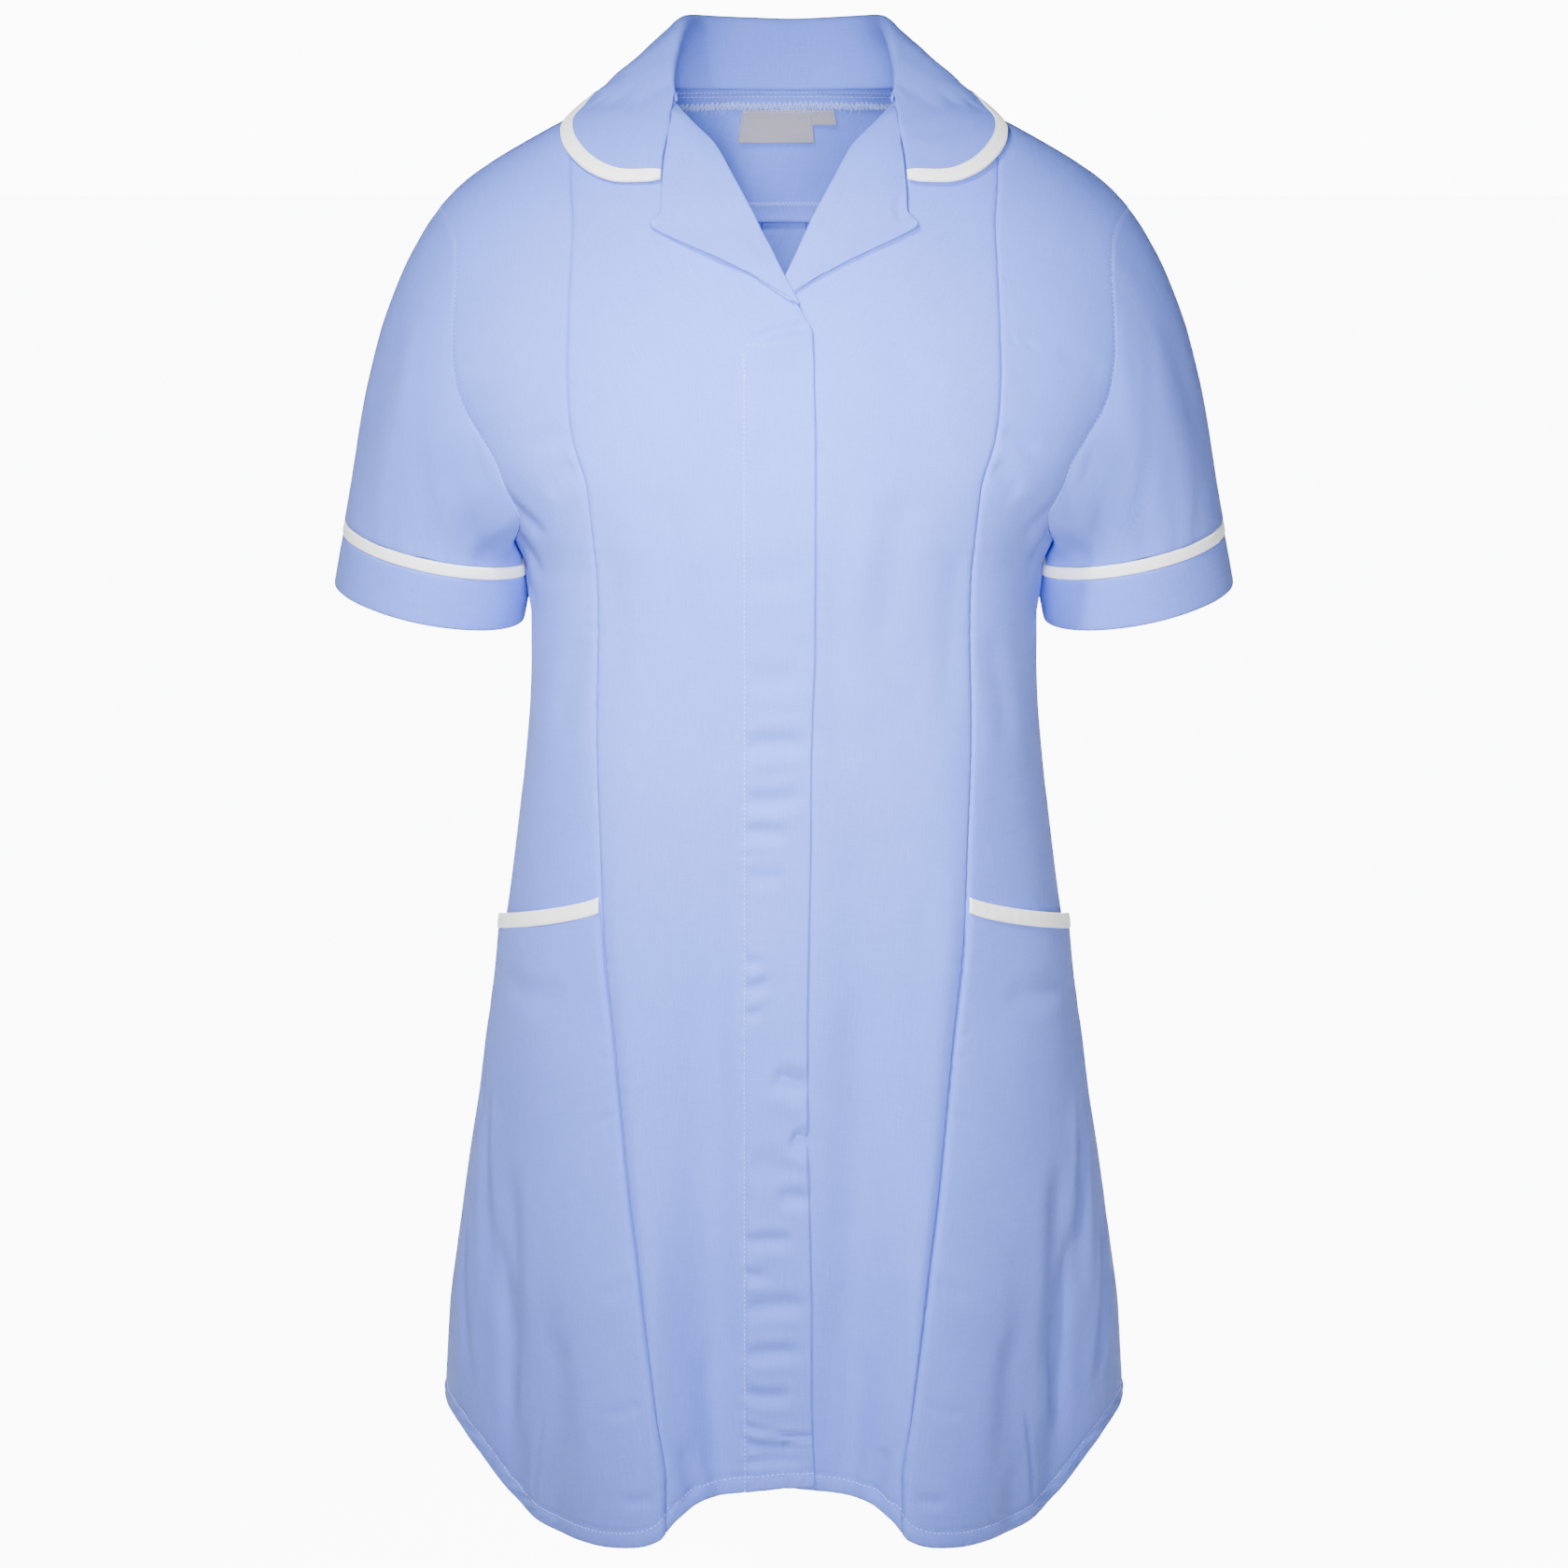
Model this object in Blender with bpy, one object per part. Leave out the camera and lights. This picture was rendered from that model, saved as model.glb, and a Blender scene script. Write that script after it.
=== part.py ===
"""Maternity tunic as it is worn, hollow, with short sleeves, revers and a wrapped front.

Lengths are millimetres here and metres in Blender. The wearer faces -Y, +X is the wearer's
left and +Z is up. The origin lies between the two points where the shoulders meet the neck.
A place on the body is an angle round it, from the centre front, and a drop below the origin.
"""

import math

import bmesh
import bpy
import numpy as np

MM = 0.001

CLOTH = 1.2          # thickness of one layer of cloth
FACED_CLOTH = 1.6    # collar and revers: two layers pressed flat
BINDING = 2.2        # white binding, folded round an edge
SEAM_GAP = 0.15      # each piece stops this far from its seam line

FRONT_EDGE_ANGLE = 7.2    # each front runs this far past the centre, in degrees: 16 mm
FRONT_LAP_HEIGHT = 1.9    # the right front over the left one
REVER_LAP_HEIGHT = 2.3    # and over the left rever
HEM_BEND_DROP = 560       # rows take the hem's curve below this
PLEAT_HALF_WIDTH = 13.5
PLEAT_RISE = 2.4
PLEAT_FADE = (250, 420)   # drops where the pleat begins to spread and has gone
YOKE_DROP = 81       # yoke seam at the centre back
CUFF_DEPTH = 30
CUFF_BINDING_WIDTH = 7.5
POCKET_BINDING_WIDTH = 9.5
COLLAR_BINDING_WIDTH = 8.5
COLLAR_ROLL = 2.4    # radius of the collar's top fold
FALL_BULGE = 10      # how far the collar's fall curves up off a straight line
NECK_BAND_DEPTH = 14
LABEL_SIZE = (40, 19)
LABEL_CENTRE = -4
SIZE_TAB_SIZE = (12.5, 8.5)

# Horizontal sections of the body, from the neck point down.
# drop, half width, front depth, back depth, front squareness, back squareness
SECTIONS = (
    (0, 66, 8, 58, 2.0, 2.0),
    (5, 80, 20, 63, 2.0, 2.0),
    (12, 99, 33, 67, 2.0, 2.0),
    (22, 121, 46, 72, 2.0, 2.0),
    (34.5, 144, 56, 77, 2.0, 2.0),
    (45, 161.3, 63.5, 81, 2.0, 2.1),
    (55.3, 176.3, 70, 85, 2.05, 2.1),
    (65.8, 188, 77, 89, 2.1, 2.2),
    (80, 201, 85, 94, 2.15, 2.2),
    (100, 213, 95.5, 99, 2.2, 2.3),
    (130, 218, 109, 103, 2.3, 2.3),
    (160, 213, 120, 105, 2.4, 2.3),
    (190, 200, 127, 105, 2.4, 2.3),
    (220, 180, 131, 102, 2.5, 2.3),
    (245, 159, 131.5, 99, 2.6, 2.4),
    (270, 146.5, 130, 96, 2.7, 2.4),
    (310, 143.2, 127, 95, 2.8, 2.4),
    (350, 143.9, 126, 96, 2.8, 2.4),
    (390, 147.9, 127, 99, 2.7, 2.4),
    (430, 153.2, 128, 104, 2.6, 2.3),
    (475, 159.2, 130, 109, 2.5, 2.3),
    (520, 164.0, 132, 114, 2.4, 2.3),
    (570, 171.3, 134, 119, 2.3, 2.2),
    (620, 179.3, 136, 124, 2.2, 2.2),
    (670, 186.8, 137, 129, 2.1, 2.2),
    (720, 193.0, 137, 133, 2.0, 2.1),
    (765, 195.6, 136, 136, 2.0, 2.1),
    (810, 197.0, 135, 138, 2.0, 2.1),
)

# The largest folds, the same on both sides. A depth below nothing is a trough.
# starts, full from, fades by, angle at start, angle at hem, width inside, width outside, depth
FOLDS = (
    (500, 790, 1200, 30, 23.5, 6.5, 26, 33),
    (280, 430, 620, 39, 36, 8, 10, 4),
    (320, 520, 1200, 19, 15, 7, 7, -4),
    (560, 690, 1200, 66, 58, 5, 7, -5),
    (620, 730, 1200, 50, 47, 4, 6, -3),
    (330, 600, 1200, 122, 118, 9, 11, 7),
    (300, 520, 1200, 150, 146, 8, 8, -5),
    (330, 640, 1200, 166, 165, 7, 7, 4),
)
HEM_DROP = 800

# Hem line all round: angle, drop
HEM = (
    (0, 775), (12, 779), (18, 781), (21, 788), (23, 797), (28, 803), (37, 806), (46, 806),
    (54, 803), (61, 794), (69, 775), (76, 764), (83, 759), (90, 755), (105, 753), (125, 758),
    (150, 761), (180, 760),
)

# Princess seam, shoulder to hem: drop, angle
PRINCESS_SEAM = (
    (21, 90), (24, 83), (35, 75), (55, 66), (77, 59), (107, 53.6), (152, 48.5), (194, 45.8),
    (222, 43), (280, 43.5), (341, 44.2), (417, 42.3), (471, 40.9), (526, 38.3), (573, 35.5),
    (611, 32.7), (652, 29.3), (690, 26.7), (726, 24.4), (764, 22.5), (800, 22.3),
)

# Armhole, from the shoulder point by the front or the back to the underarm. The last two columns
# are the turns round the cuff that the front and the back points lead to.
# turn, drop, front angle, back angle, front cuff turn, back cuff turn
ARMHOLE = (
    (0, 70.5, 90, 90, 0, 0),
    (15, 76, 82, 96, 14, 14),
    (30, 88, 75.8, 101, 28, 28),
    (50, 109, 71.8, 106, 43, 43),
    (70, 134, 69.2, 110, 57, 56),
    (90, 160, 67.5, 113, 70, 67),
    (105, 178, 66.5, 115, 80, 76),
    (120, 195, 64, 116.5, 91, 85),
    (135, 213, 61.8, 116.5, 102, 94),
    (150, 235, 61.8, 114.5, 113, 102),
    (158, 243.5, 63.8, 111.5, 122, 110),
    (165, 249.5, 67.5, 108, 132, 120),
    (170, 252.8, 72.5, 104, 143, 136),
    (174, 254.8, 78.5, 99.5, 155, 151),
    (177, 255.7, 84, 95, 167, 165),
    (180, 256, 90, 90, 180, 180),
)
UNDERARM_DROP = 256

# Front edge of the neck, neck point to break point: drop, angle (the wearer's right front)
ROLL_LINE = (
    (1.4, -90), (6, -77), (13.3, -64.6), (24.8, -48.7), (37.7, -33.6), (51.7, -23.7),
    (73.9, -11.8), (87.7, -6.7), (107.4, -0.4), (119.7, 3.5), (133, 7.4),
)

# Rows above the underarm: turn round the armhole, drop at the front edge, drop at the princess seam
ROWS_ABOVE_ARM = (
    (0, 1.4, 21),
    (15, 9, 30),
    (30, 19, 43),
    (45, 31, 60),
    (60, 45, 80),
    (75, 60, 100),
    (90, 76, 122),
    (105, 94, 144),
    (120, 112, 166),
    (135, 133, 190),
    (150, 162, 216),
    (158, 184, 230),
    (165, 205, 241),
    (170, 224, 249),
    (174, 240, 255),
    (177, 255, 260),
    (180, 270, 265),
)
ROWS_BELOW_ARM = 15
SPLIT_ROWS = (8, ROWS_BELOW_ARM)     # from the hem, where a tall panel is split into nodes
BACK_HIP_ROWS = (5, 9)               # the back's own level at the hips, which is split across too
BACK_HIP_ANGLE = 140
YOKE_TURN = 30       # where the yoke seam meets the armhole

# Neck seam from the gorge to the centre back: angle, drop
NECK_LINE = ((64.6, 13.3), (77, 6), (90, 1.4), (180, 3))

# Gorge seam, where the collar and a rever meet: share of its length, drop, angle
GORGE = ((0, 13.3, 64.6), (0.33, 27, 54.7), (0.57, 37.5, 51), (0.82, 48.5, 47.7), (1, 55.8, 45.7))

# Rever outline: share of the roll line from the gorge, drop, angle
REVER_EDGE = (
    (0.0, 15, -62.6), (0.1, 24, -56), (0.2, 37.5, -50.6), (0.32, 55.6, -45.3), (0.42, 73, -40.8),
    (0.47, 79.5, -43.4), (0.53, 86.5, -35.5), (0.70, 98, -20.5), (0.85, 107.5, -9.5), (1.0, 120.5, 3.0),
)
REVER_START = 15     # drop where the rever begins on the roll line
REVER_END = 122      # drop where it runs out

# Collar, centre back to gorge. Each row: neck angle, top fold x y z, outer edge x y z
COLLAR = (
    (180, 0, 60, 30, 0, 93, -20),
    (156, 26, 56, 31, 42, 88, -20),
    (130, 46, 41, 32, 80, 70, -20),
    (105, 53, 20, 32, 101, 36, -15),
    (90, 57, 2, 24, 108, 5, -12),
    (83, 59.5, -6, 14, 117, -11, -21),
    (77, 61, -13, 6.5, 122, -20, -31),
    (73, 61.5, -18, 1, 121, -29, -39),
    (70, 61.5, -22, -4, 114.5, -43, -48),
    (67.5, 61.2, -25, -6.2, 104.5, -55, -54),
    (66, 60.6, -27, -8.3, 90, -65, -56),
    (64.6, 60, -28.6, -9.3, 70.5, -67, -56),
)
FALL_HEIGHTS = (1.6, 2.3, 2.8, 3.0, 3.0, 3.0)    # least height of the fall's rows off the body

# Sleeve end on the wearer's left
CUFF_CENTRE = np.array((202.0, 4.0, -294.0))
CUFF_RADIUS = 55.0
CUFF_AXIS = np.array((0.2, 0.14, -0.97)) / math.sqrt(0.2 ** 2 + 0.14 ** 2 + 0.97 ** 2)
CUFF_OUTWARD = np.array((0.98, 0.0, 0.202))
SLEEVE_ROWS = 9
SLEEVE_CLEARANCE = 1.4
SLEEVE_GAP = 0.5     # first ring of the sleeve off the armhole

# Materials: red, green, blue, roughness
BLUE_COTTON = (0.40, 0.49, 0.82, 0.85)
WHITE_BINDING = (0.88, 0.88, 0.90, 0.75)
GREY_WOVEN = (0.58, 0.55, 0.55, 0.8)


def smooth(places, values, place):
    """Read a smooth curve through a table, with no overshoot between its rows."""
    places, values = np.asarray(places, float), np.asarray(values, float)
    place = np.clip(place, places[0], places[-1])
    gap = np.diff(places)
    slope = np.diff(values) / gap
    before, after = 2 * gap[1:] + gap[:-1], gap[1:] + 2 * gap[:-1]
    same_way = slope[:-1] * slope[1:] > 0
    first, second = np.where(same_way, slope[:-1], 1.0), np.where(same_way, slope[1:], 1.0)
    tangent = np.empty_like(values)
    tangent[0], tangent[-1] = slope[0], slope[-1]
    tangent[1:-1] = np.where(same_way, (before + after) / (before / first + after / second), 0.0)
    row = np.clip(np.searchsorted(places, place) - 1, 0, len(gap) - 1)
    t = (place - places[row]) / gap[row]
    return (
        (1 + 2 * t) * (1 - t) ** 2 * values[row]
        + t * (1 - t) ** 2 * gap[row] * tangent[row]
        + t * t * (3 - 2 * t) * values[row + 1]
        + t * t * (t - 1) * gap[row] * tangent[row + 1]
    )


def read(table, column, place):
    """Read one column of a table at a place in its first column."""
    rows = np.array(table, float)
    return smooth(rows[:, 0], rows[:, column], place)


def ease(t):
    t = np.clip(t, 0, 1)
    return t * t * (3 - 2 * t)


def unit(vectors):
    return vectors / np.linalg.norm(vectors, axis=-1, keepdims=True)


def fold_rise(angle, drop):
    """How far the folds push the cloth out from the plain body."""
    rise = np.zeros(np.broadcast(angle, drop).shape)
    degrees = np.degrees(np.abs(angle))
    for start, full, end, angle_start, angle_hem, inside, outside, depth in FOLDS:
        along = np.clip((drop - start) / (min(end, HEM_DROP) - start), 0, 1)
        off = degrees - (angle_start + (angle_hem - angle_start) * along)
        width = np.where(off < 0, inside, outside)
        fade = ease((drop - start) / (full - start)) * ease((end - drop) / (end - full))
        rise = rise + depth * fade * np.exp(-((off / width) ** 2))
    return rise


def body_radius(angle, drop):
    """Distance from the body's upright axis to the cloth's outer face."""
    in_front = np.abs(angle) < math.pi / 2
    width = read(SECTIONS, 1, drop)
    depth = np.where(in_front, read(SECTIONS, 2, drop), read(SECTIONS, 3, drop))
    power = np.where(in_front, read(SECTIONS, 4, drop), read(SECTIONS, 5, drop))
    plain = (
        (np.abs(np.sin(angle)) / width) ** power + (np.abs(np.cos(angle)) / depth) ** power
    ) ** (-1 / power)
    return plain + fold_rise(angle, drop)


def on_body(angle, drop):
    angle, drop = np.broadcast_arrays(np.asarray(angle, float), np.asarray(drop, float))
    radius = body_radius(angle, drop)
    return np.stack((radius * np.sin(angle), -radius * np.cos(angle), -drop), -1)


def body_normal(angle, drop, step_angle=0.004, step_drop=0.8):
    across = on_body(angle + step_angle, drop) - on_body(angle - step_angle, drop)
    upper = np.maximum(drop - step_drop, 0)
    down = on_body(angle, drop + step_drop) - on_body(angle, upper)
    return unit(np.cross(down, across))


def raised(angle, drop, height):
    """Points at a height off the body's outer face; a height below nothing is inside."""
    height = np.broadcast_to(height, np.broadcast(angle, drop).shape)[..., None]
    return on_body(angle, drop) + body_normal(angle, drop) * height


def pushed_off(points, least):
    """Move points that lie nearer the body than the least height out to it."""
    for _ in range(3):
        angle = np.arctan2(points[..., 0], -points[..., 1])
        drop = np.maximum(-points[..., 2], 0)
        outward = body_normal(angle, drop)
        height = np.sum((points - on_body(angle, drop)) * outward, -1)
        under = (-points[..., 2] > 0) & (height < least)
        points = points + outward * np.where(under, least - height, 0)[..., None]
    return points


def mixed(first, last, count):
    """Rows of values from the first column to the last."""
    share = np.linspace(0, 1, count + 1)
    return first[:, None] * (1 - share) + last[:, None] * share


def trimmed(grid, ring=False):
    """Draw the edges of a grid in by the seam gap."""
    grid = grid.copy()
    grid[0] += unit(grid[1] - grid[0]) * SEAM_GAP
    grid[-1] += unit(grid[-2] - grid[-1]) * SEAM_GAP
    if not ring:
        grid[:, 0] += unit(grid[:, 1] - grid[:, 0]) * SEAM_GAP
        grid[:, -1] += unit(grid[:, -2] - grid[:, -1]) * SEAM_GAP
    return grid


def make_material(name, red, green, blue, roughness):
    material = bpy.data.materials.new(name)
    material.use_nodes = True
    shader = material.node_tree.nodes["Principled BSDF"]
    shader.inputs["Base Color"].default_value = (red, green, blue, 1)
    shader.inputs["Roughness"].default_value = roughness
    shader.inputs["Metallic"].default_value = 0
    material.diffuse_color = (red, green, blue, 1)
    return material


def make_wall(name, outer, inner, colour, collection, ring=False):
    """Join an outer and an inner grid of points into one closed wall."""
    rows, columns = outer.shape[:2]
    points = np.concatenate((outer.reshape(-1, 3), inner.reshape(-1, 3))) * MM
    inside = rows * columns
    across = columns if ring else columns - 1
    faces = []
    for row in range(rows - 1):
        for column in range(across):
            start = row * columns + column
            after = row * columns + (column + 1) % columns
            above = after + columns
            faces.append((start, after, above, start + columns))
            faces.append((start + inside, start + columns + inside, above + inside, after + inside))
    first = [column for column in range(columns)]
    last = [(rows - 1) * columns + column for column in range(columns)]
    if ring:
        loops = [first + first[:1], last + last[:1]]
    else:
        left = [row * columns for row in range(rows)]
        right = [row * columns + columns - 1 for row in range(rows)]
        loops = [first, last, left, right]
    for loop in loops:
        for start, after in zip(loop, loop[1:]):
            faces.append((start, after, after + inside, start + inside))

    mesh = bpy.data.meshes.new(name)
    mesh.from_pydata(points.tolist(), [], faces)
    shape = bmesh.new()
    shape.from_mesh(mesh)
    bmesh.ops.recalc_face_normals(shape, faces=shape.faces)
    shape.to_mesh(mesh)
    shape.free()
    mesh.materials.append(make_material(name, *colour))
    piece = bpy.data.objects.new(name, mesh)
    collection.objects.link(piece)
    return piece


def make_panel(name, angle, drop, height, colour, collection, thickness=CLOTH):
    """A wall whose outer face follows the body at a height above it."""
    outer = trimmed(raised(angle, drop, height))
    inner = trimmed(raised(angle, drop, height - thickness))
    return make_wall(name, outer, inner, colour, collection)


def make_tall_panel(name, angle, drop, height, collection):
    """A panel from hem to shoulder, as walls one above another that collide as thin walls."""
    ends = (0, *SPLIT_ROWS, len(drop) - 1)
    for part, first, last in zip(("lower", "middle", "upper"), ends, ends[1:]):
        rows = slice(first, last + 1)
        part_height = np.broadcast_to(height, drop.shape)[rows]
        make_panel(f"{name}_{part}", angle[rows], drop[rows], part_height, BLUE_COTTON, collection)


def row_turns():
    """Turns round the armhole of the rows above the underarm, lowest first."""
    return np.array(ROWS_ABOVE_ARM, float)[::-1, 0]


def rows_from_hem(hem_drop, above):
    """Drops of all rows of a seam: evenly from the hem, close together at the underarm."""
    close = above[0] + np.array((46, 30, 14))
    even = np.linspace(hem_drop, close[0], ROWS_BELOW_ARM - 2)
    return np.concatenate((even, close[1:], above))


def side_rows(column):
    """Angles and drops of the rows at a panel's side: the side seam, then the armhole."""
    turns = row_turns()
    drop = rows_from_hem(float(read(HEM, 1, 90)), read(ARMHOLE, 1, turns))
    angle = np.concatenate((np.full(ROWS_BELOW_ARM, 90.0), read(ARMHOLE, column, turns)))
    return angle, drop


def princess_rows():
    """Angles and drops of the princess seam's rows, shared by the panels on each side of it."""
    above = np.array(ROWS_ABOVE_ARM, float)[::-1, 2]
    drop = rows_from_hem(float(read(HEM, 1, PRINCESS_SEAM[-1][1])), above)
    return read(PRINCESS_SEAM, 1, drop), drop


def bend_to_hem(angle, drop):
    """Let the lowest rows of a panel take the hem's curve between its two seams."""
    low = ease((drop - HEM_BEND_DROP) / (drop[0] - HEM_BEND_DROP))
    return drop + (read(HEM, 1, np.degrees(np.abs(angle[0]))) - drop[0]) * low


def front_grid(edge_angle, columns=11):
    """Angles and drops of the wearer's right front, edge to princess seam."""
    above = np.array(ROWS_ABOVE_ARM, float)[::-1, 1]
    edge_drop = rows_from_hem(float(read(HEM, 1, edge_angle)), above)
    edge = np.where(edge_drop > ROLL_LINE[-1][0], edge_angle, read(ROLL_LINE, 1, edge_drop))
    seam, seam_drop = princess_rows()
    angle = np.radians(mixed(edge, -seam, columns))
    drop = mixed(edge_drop, seam_drop, columns)
    return angle, bend_to_hem(angle, drop)


def overlap_rise(angle, drop):
    """The right front lies on the left one, and near the break on its rever too."""
    across = on_body(angle, drop)[..., 0]
    over_front = ease((across + 38) / 14) * ease((drop - 90) / 18)
    over_rever = ease((across + 36) / 18) * ease((drop - 88) / 14) * ease((165 - drop) / 30)
    return FRONT_LAP_HEIGHT * over_front + REVER_LAP_HEIGHT * over_rever


def side_front_grid(columns=10):
    """Angles and drops of the wearer's right side front, princess seam to side seam."""
    seam, seam_drop = princess_rows()
    edge, edge_drop = side_rows(2)
    angle = -np.radians(mixed(seam, edge, columns))
    drop = mixed(seam_drop, edge_drop, columns)
    return angle, bend_to_hem(angle, drop)


def make_fronts(collection):
    angle, drop = front_grid(FRONT_EDGE_ANGLE)
    make_tall_panel("front_right", angle, drop, overlap_rise(angle, drop), collection)
    make_tall_panel("front_left", -angle, drop, 0, collection)
    angle, drop = side_front_grid()
    for side, sign in (("right", 1), ("left", -1)):
        make_tall_panel("side_front_" + side, sign * angle, drop, 0, collection)


def pocket_opening(share, down):
    """Angle and drop across a pocket's opening, at a distance down from its bound edge."""
    drop = 444 + 31 * share ** 0.8 + down
    seam = read(PRINCESS_SEAM, 1, drop)
    return seam + (90 - seam) * share, drop


def pocket_height(angle, drop):
    """A pocket stands off its panel towards the side, most at its opening."""
    degrees = np.degrees(np.abs(angle))
    outward = ease((degrees - 45) / 35) * (1 - 0.5 * ease((drop - 480) / 260))
    return 1.6 + (0.6 + 1.7 * outward) * ease((90 - degrees) / 5)


def make_pockets(collection, columns=10, rows=11):
    share = np.linspace(0, 1, columns + 1)
    top_drop = pocket_opening(share, POCKET_BINDING_WIDTH)[1]
    hem_drop = side_front_grid(columns)[1][0] - 1.0
    down = np.linspace(0, 1, rows + 1)[:, None]
    drop = hem_drop + (top_drop - hem_drop) * down
    seam = read(PRINCESS_SEAM, 1, drop[:, :1])
    angle = -np.radians(seam + (90 - seam) * share)
    for side, sign in (("right", 1), ("left", -1)):
        height = pocket_height(angle, drop)
        make_panel("pocket_" + side, sign * angle, drop, height, BLUE_COTTON, collection)

    lines = [pocket_opening(share, POCKET_BINDING_WIDTH * part) for part in (1, 0.5, 0)]
    angle = -np.radians(np.array([line[0] for line in lines]))
    drop = np.array([line[1] for line in lines])
    height = np.maximum(pocket_height(angle, drop) + 0.5, BINDING + 0.3)
    for side, sign in (("right", 1), ("left", -1)):
        make_panel("pocket_binding_" + side, sign * angle, drop, height, WHITE_BINDING, collection, BINDING)


def back_pleat_rise(angle, drop):
    """The box pleat stands out below the yoke and spreads away lower down."""
    across = np.abs(on_body(angle, drop)[..., 0])
    spread = ease((drop - PLEAT_FADE[0]) / (PLEAT_FADE[1] - PLEAT_FADE[0]))
    return PLEAT_RISE * (1 - ease((across - PLEAT_HALF_WIDTH) / 3)) * (1 - spread)


def back_columns(edge):
    """Angles across the back, edge to edge, with a column on each side of the pleat's folds."""
    fold = PLEAT_HALF_WIDTH + 3.5
    across = np.array((-fold, 0.5 - PLEAT_HALF_WIDTH, 0, PLEAT_HALF_WIDTH - 0.5, fold))
    pleat = np.degrees(np.arcsin(across / 105)) + 180
    shares = np.linspace(0, 1, 9)[:-1]
    left = edge[:, None] + (pleat[0] - edge[:, None]) * shares
    right = 360 - left[:, ::-1]
    middle = np.broadcast_to(pleat, (len(edge), len(pleat)))
    return np.radians(np.concatenate((left, middle, right), axis=1))


def make_back(collection):
    edge, edge_drop = side_rows(3)
    below_yoke = np.concatenate((np.full(ROWS_BELOW_ARM, True), row_turns() >= YOKE_TURN))
    edge, edge_drop = edge[below_yoke], edge_drop[below_yoke]
    angle = back_columns(edge)
    turned = np.minimum(angle, 2 * math.pi - angle)
    inward = (turned - turned[:, :1]) / (math.pi - turned[:, :1])
    centre = edge_drop.copy()
    first = BACK_HIP_ROWS[1]
    centre[first:] = np.linspace(centre[first], YOKE_DROP, len(edge) - first)
    drop = edge_drop[:, None] + (centre - edge_drop)[:, None] * ease(inward)
    drop = bend_to_hem(turned, drop)
    hip_column = int(np.argmin(np.abs(turned[0, :len(turned[0]) // 2] - math.radians(BACK_HIP_ANGLE))))
    angle = angle - 2 * math.pi * (angle > math.pi)
    make_back_parts(angle, drop, back_pleat_rise(angle, drop), hip_column, collection)

    make_yoke(angle[-1], drop[-1], collection)


def make_back_parts(angle, drop, height, hip_column, collection):
    """The back as four levels, the one at the hips in three, so that each collides as a thin wall."""
    last_row, last_column = drop.shape[0] - 1, drop.shape[1] - 1
    hip_first, hip_last = BACK_HIP_ROWS
    parts = {
        "lower": (0, hip_first, 0, last_column),
        "hip_left": (hip_first, hip_last, 0, hip_column),
        "hip_centre": (hip_first, hip_last, hip_column, last_column - hip_column),
        "hip_right": (hip_first, hip_last, last_column - hip_column, last_column),
        "middle": (hip_last, ROWS_BELOW_ARM, 0, last_column),
        "upper": (ROWS_BELOW_ARM, last_row, 0, last_column),
    }
    for part, (row, row_after, column, column_after) in parts.items():
        place = slice(row, row_after + 1), slice(column, column_after + 1)
        make_panel(f"back_{part}", angle[place], drop[place], height[place], BLUE_COTTON, collection)


def make_yoke(seam_angle, seam_drop, collection, neck_share=0.6):
    """The yoke runs from its seam up to the shoulder seams and the back of the neck."""
    spread = np.abs(np.linspace(-1, 1, len(seam_angle)))
    on_neck = np.clip(spread / neck_share, 0, 1)
    on_shoulder = np.clip((spread - neck_share) / (1 - neck_share), 0, 1)
    neck_point, shoulder_point = NECK_LINE[2][1], ARMHOLE[0][1]
    top_drop = read(NECK_LINE, 1, 180 - 90 * on_neck) + (shoulder_point - neck_point) * on_shoulder
    top_turned = np.radians(180 - 90 * on_neck)
    share = np.array((0, 0.25, 0.5, 0.7, 0.82, 0.91, 1))[:, None]
    turned = np.abs(seam_angle) + (top_turned - np.abs(seam_angle)) * share
    drop = seam_drop + (top_drop - seam_drop) * share
    knots = np.array((0, YOKE_TURN / 2, YOKE_TURN), float)
    turn = YOKE_TURN * (1 - share[:, 0])
    for end in (0, -1):
        turned[:, end] = np.radians(np.interp(turn, knots, read(ARMHOLE, 3, knots)))
        drop[:, end] = np.interp(turn, knots, read(ARMHOLE, 1, knots))
    angle = np.sign(seam_angle) * turned
    make_panel("back_yoke", angle, drop, np.zeros_like(drop), BLUE_COTTON, collection)


def make_neck_label(collection):
    """The band inside the back neck, and the bare woven label and size tab below it."""
    angle = np.radians(180 + np.linspace(-55, 55, 17))
    angle = angle - 2 * math.pi * (angle > math.pi)
    turned = np.abs(np.abs(angle) - math.pi)
    top = 3.6 - 0.6 * turned
    drop = np.stack((top + NECK_BAND_DEPTH, top + NECK_BAND_DEPTH / 2, top))
    angle = np.broadcast_to(angle, drop.shape)
    make_panel("neck_band", angle, drop, np.full(drop.shape, -CLOTH - 1.0), BLUE_COTTON, collection)

    below_band = 3.6 + NECK_BAND_DEPTH
    for name, start, size in (
        ("label", LABEL_CENTRE - LABEL_SIZE[0] / 2, LABEL_SIZE),
        ("size_tab", LABEL_CENTRE + LABEL_SIZE[0] / 2, SIZE_TAB_SIZE),
    ):
        across = start + np.linspace(0, size[0], 6)
        drop = np.broadcast_to((below_band + np.linspace(size[1], 0, 3))[:, None], (3, 6))
        angle = math.pi - np.arcsin(across / 72)
        angle = np.broadcast_to(angle - 2 * math.pi * (angle > math.pi), drop.shape)
        make_panel(name, angle, drop, np.full(drop.shape, -CLOTH - 1.4), GREY_WOVEN, collection, 1.0)


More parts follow.
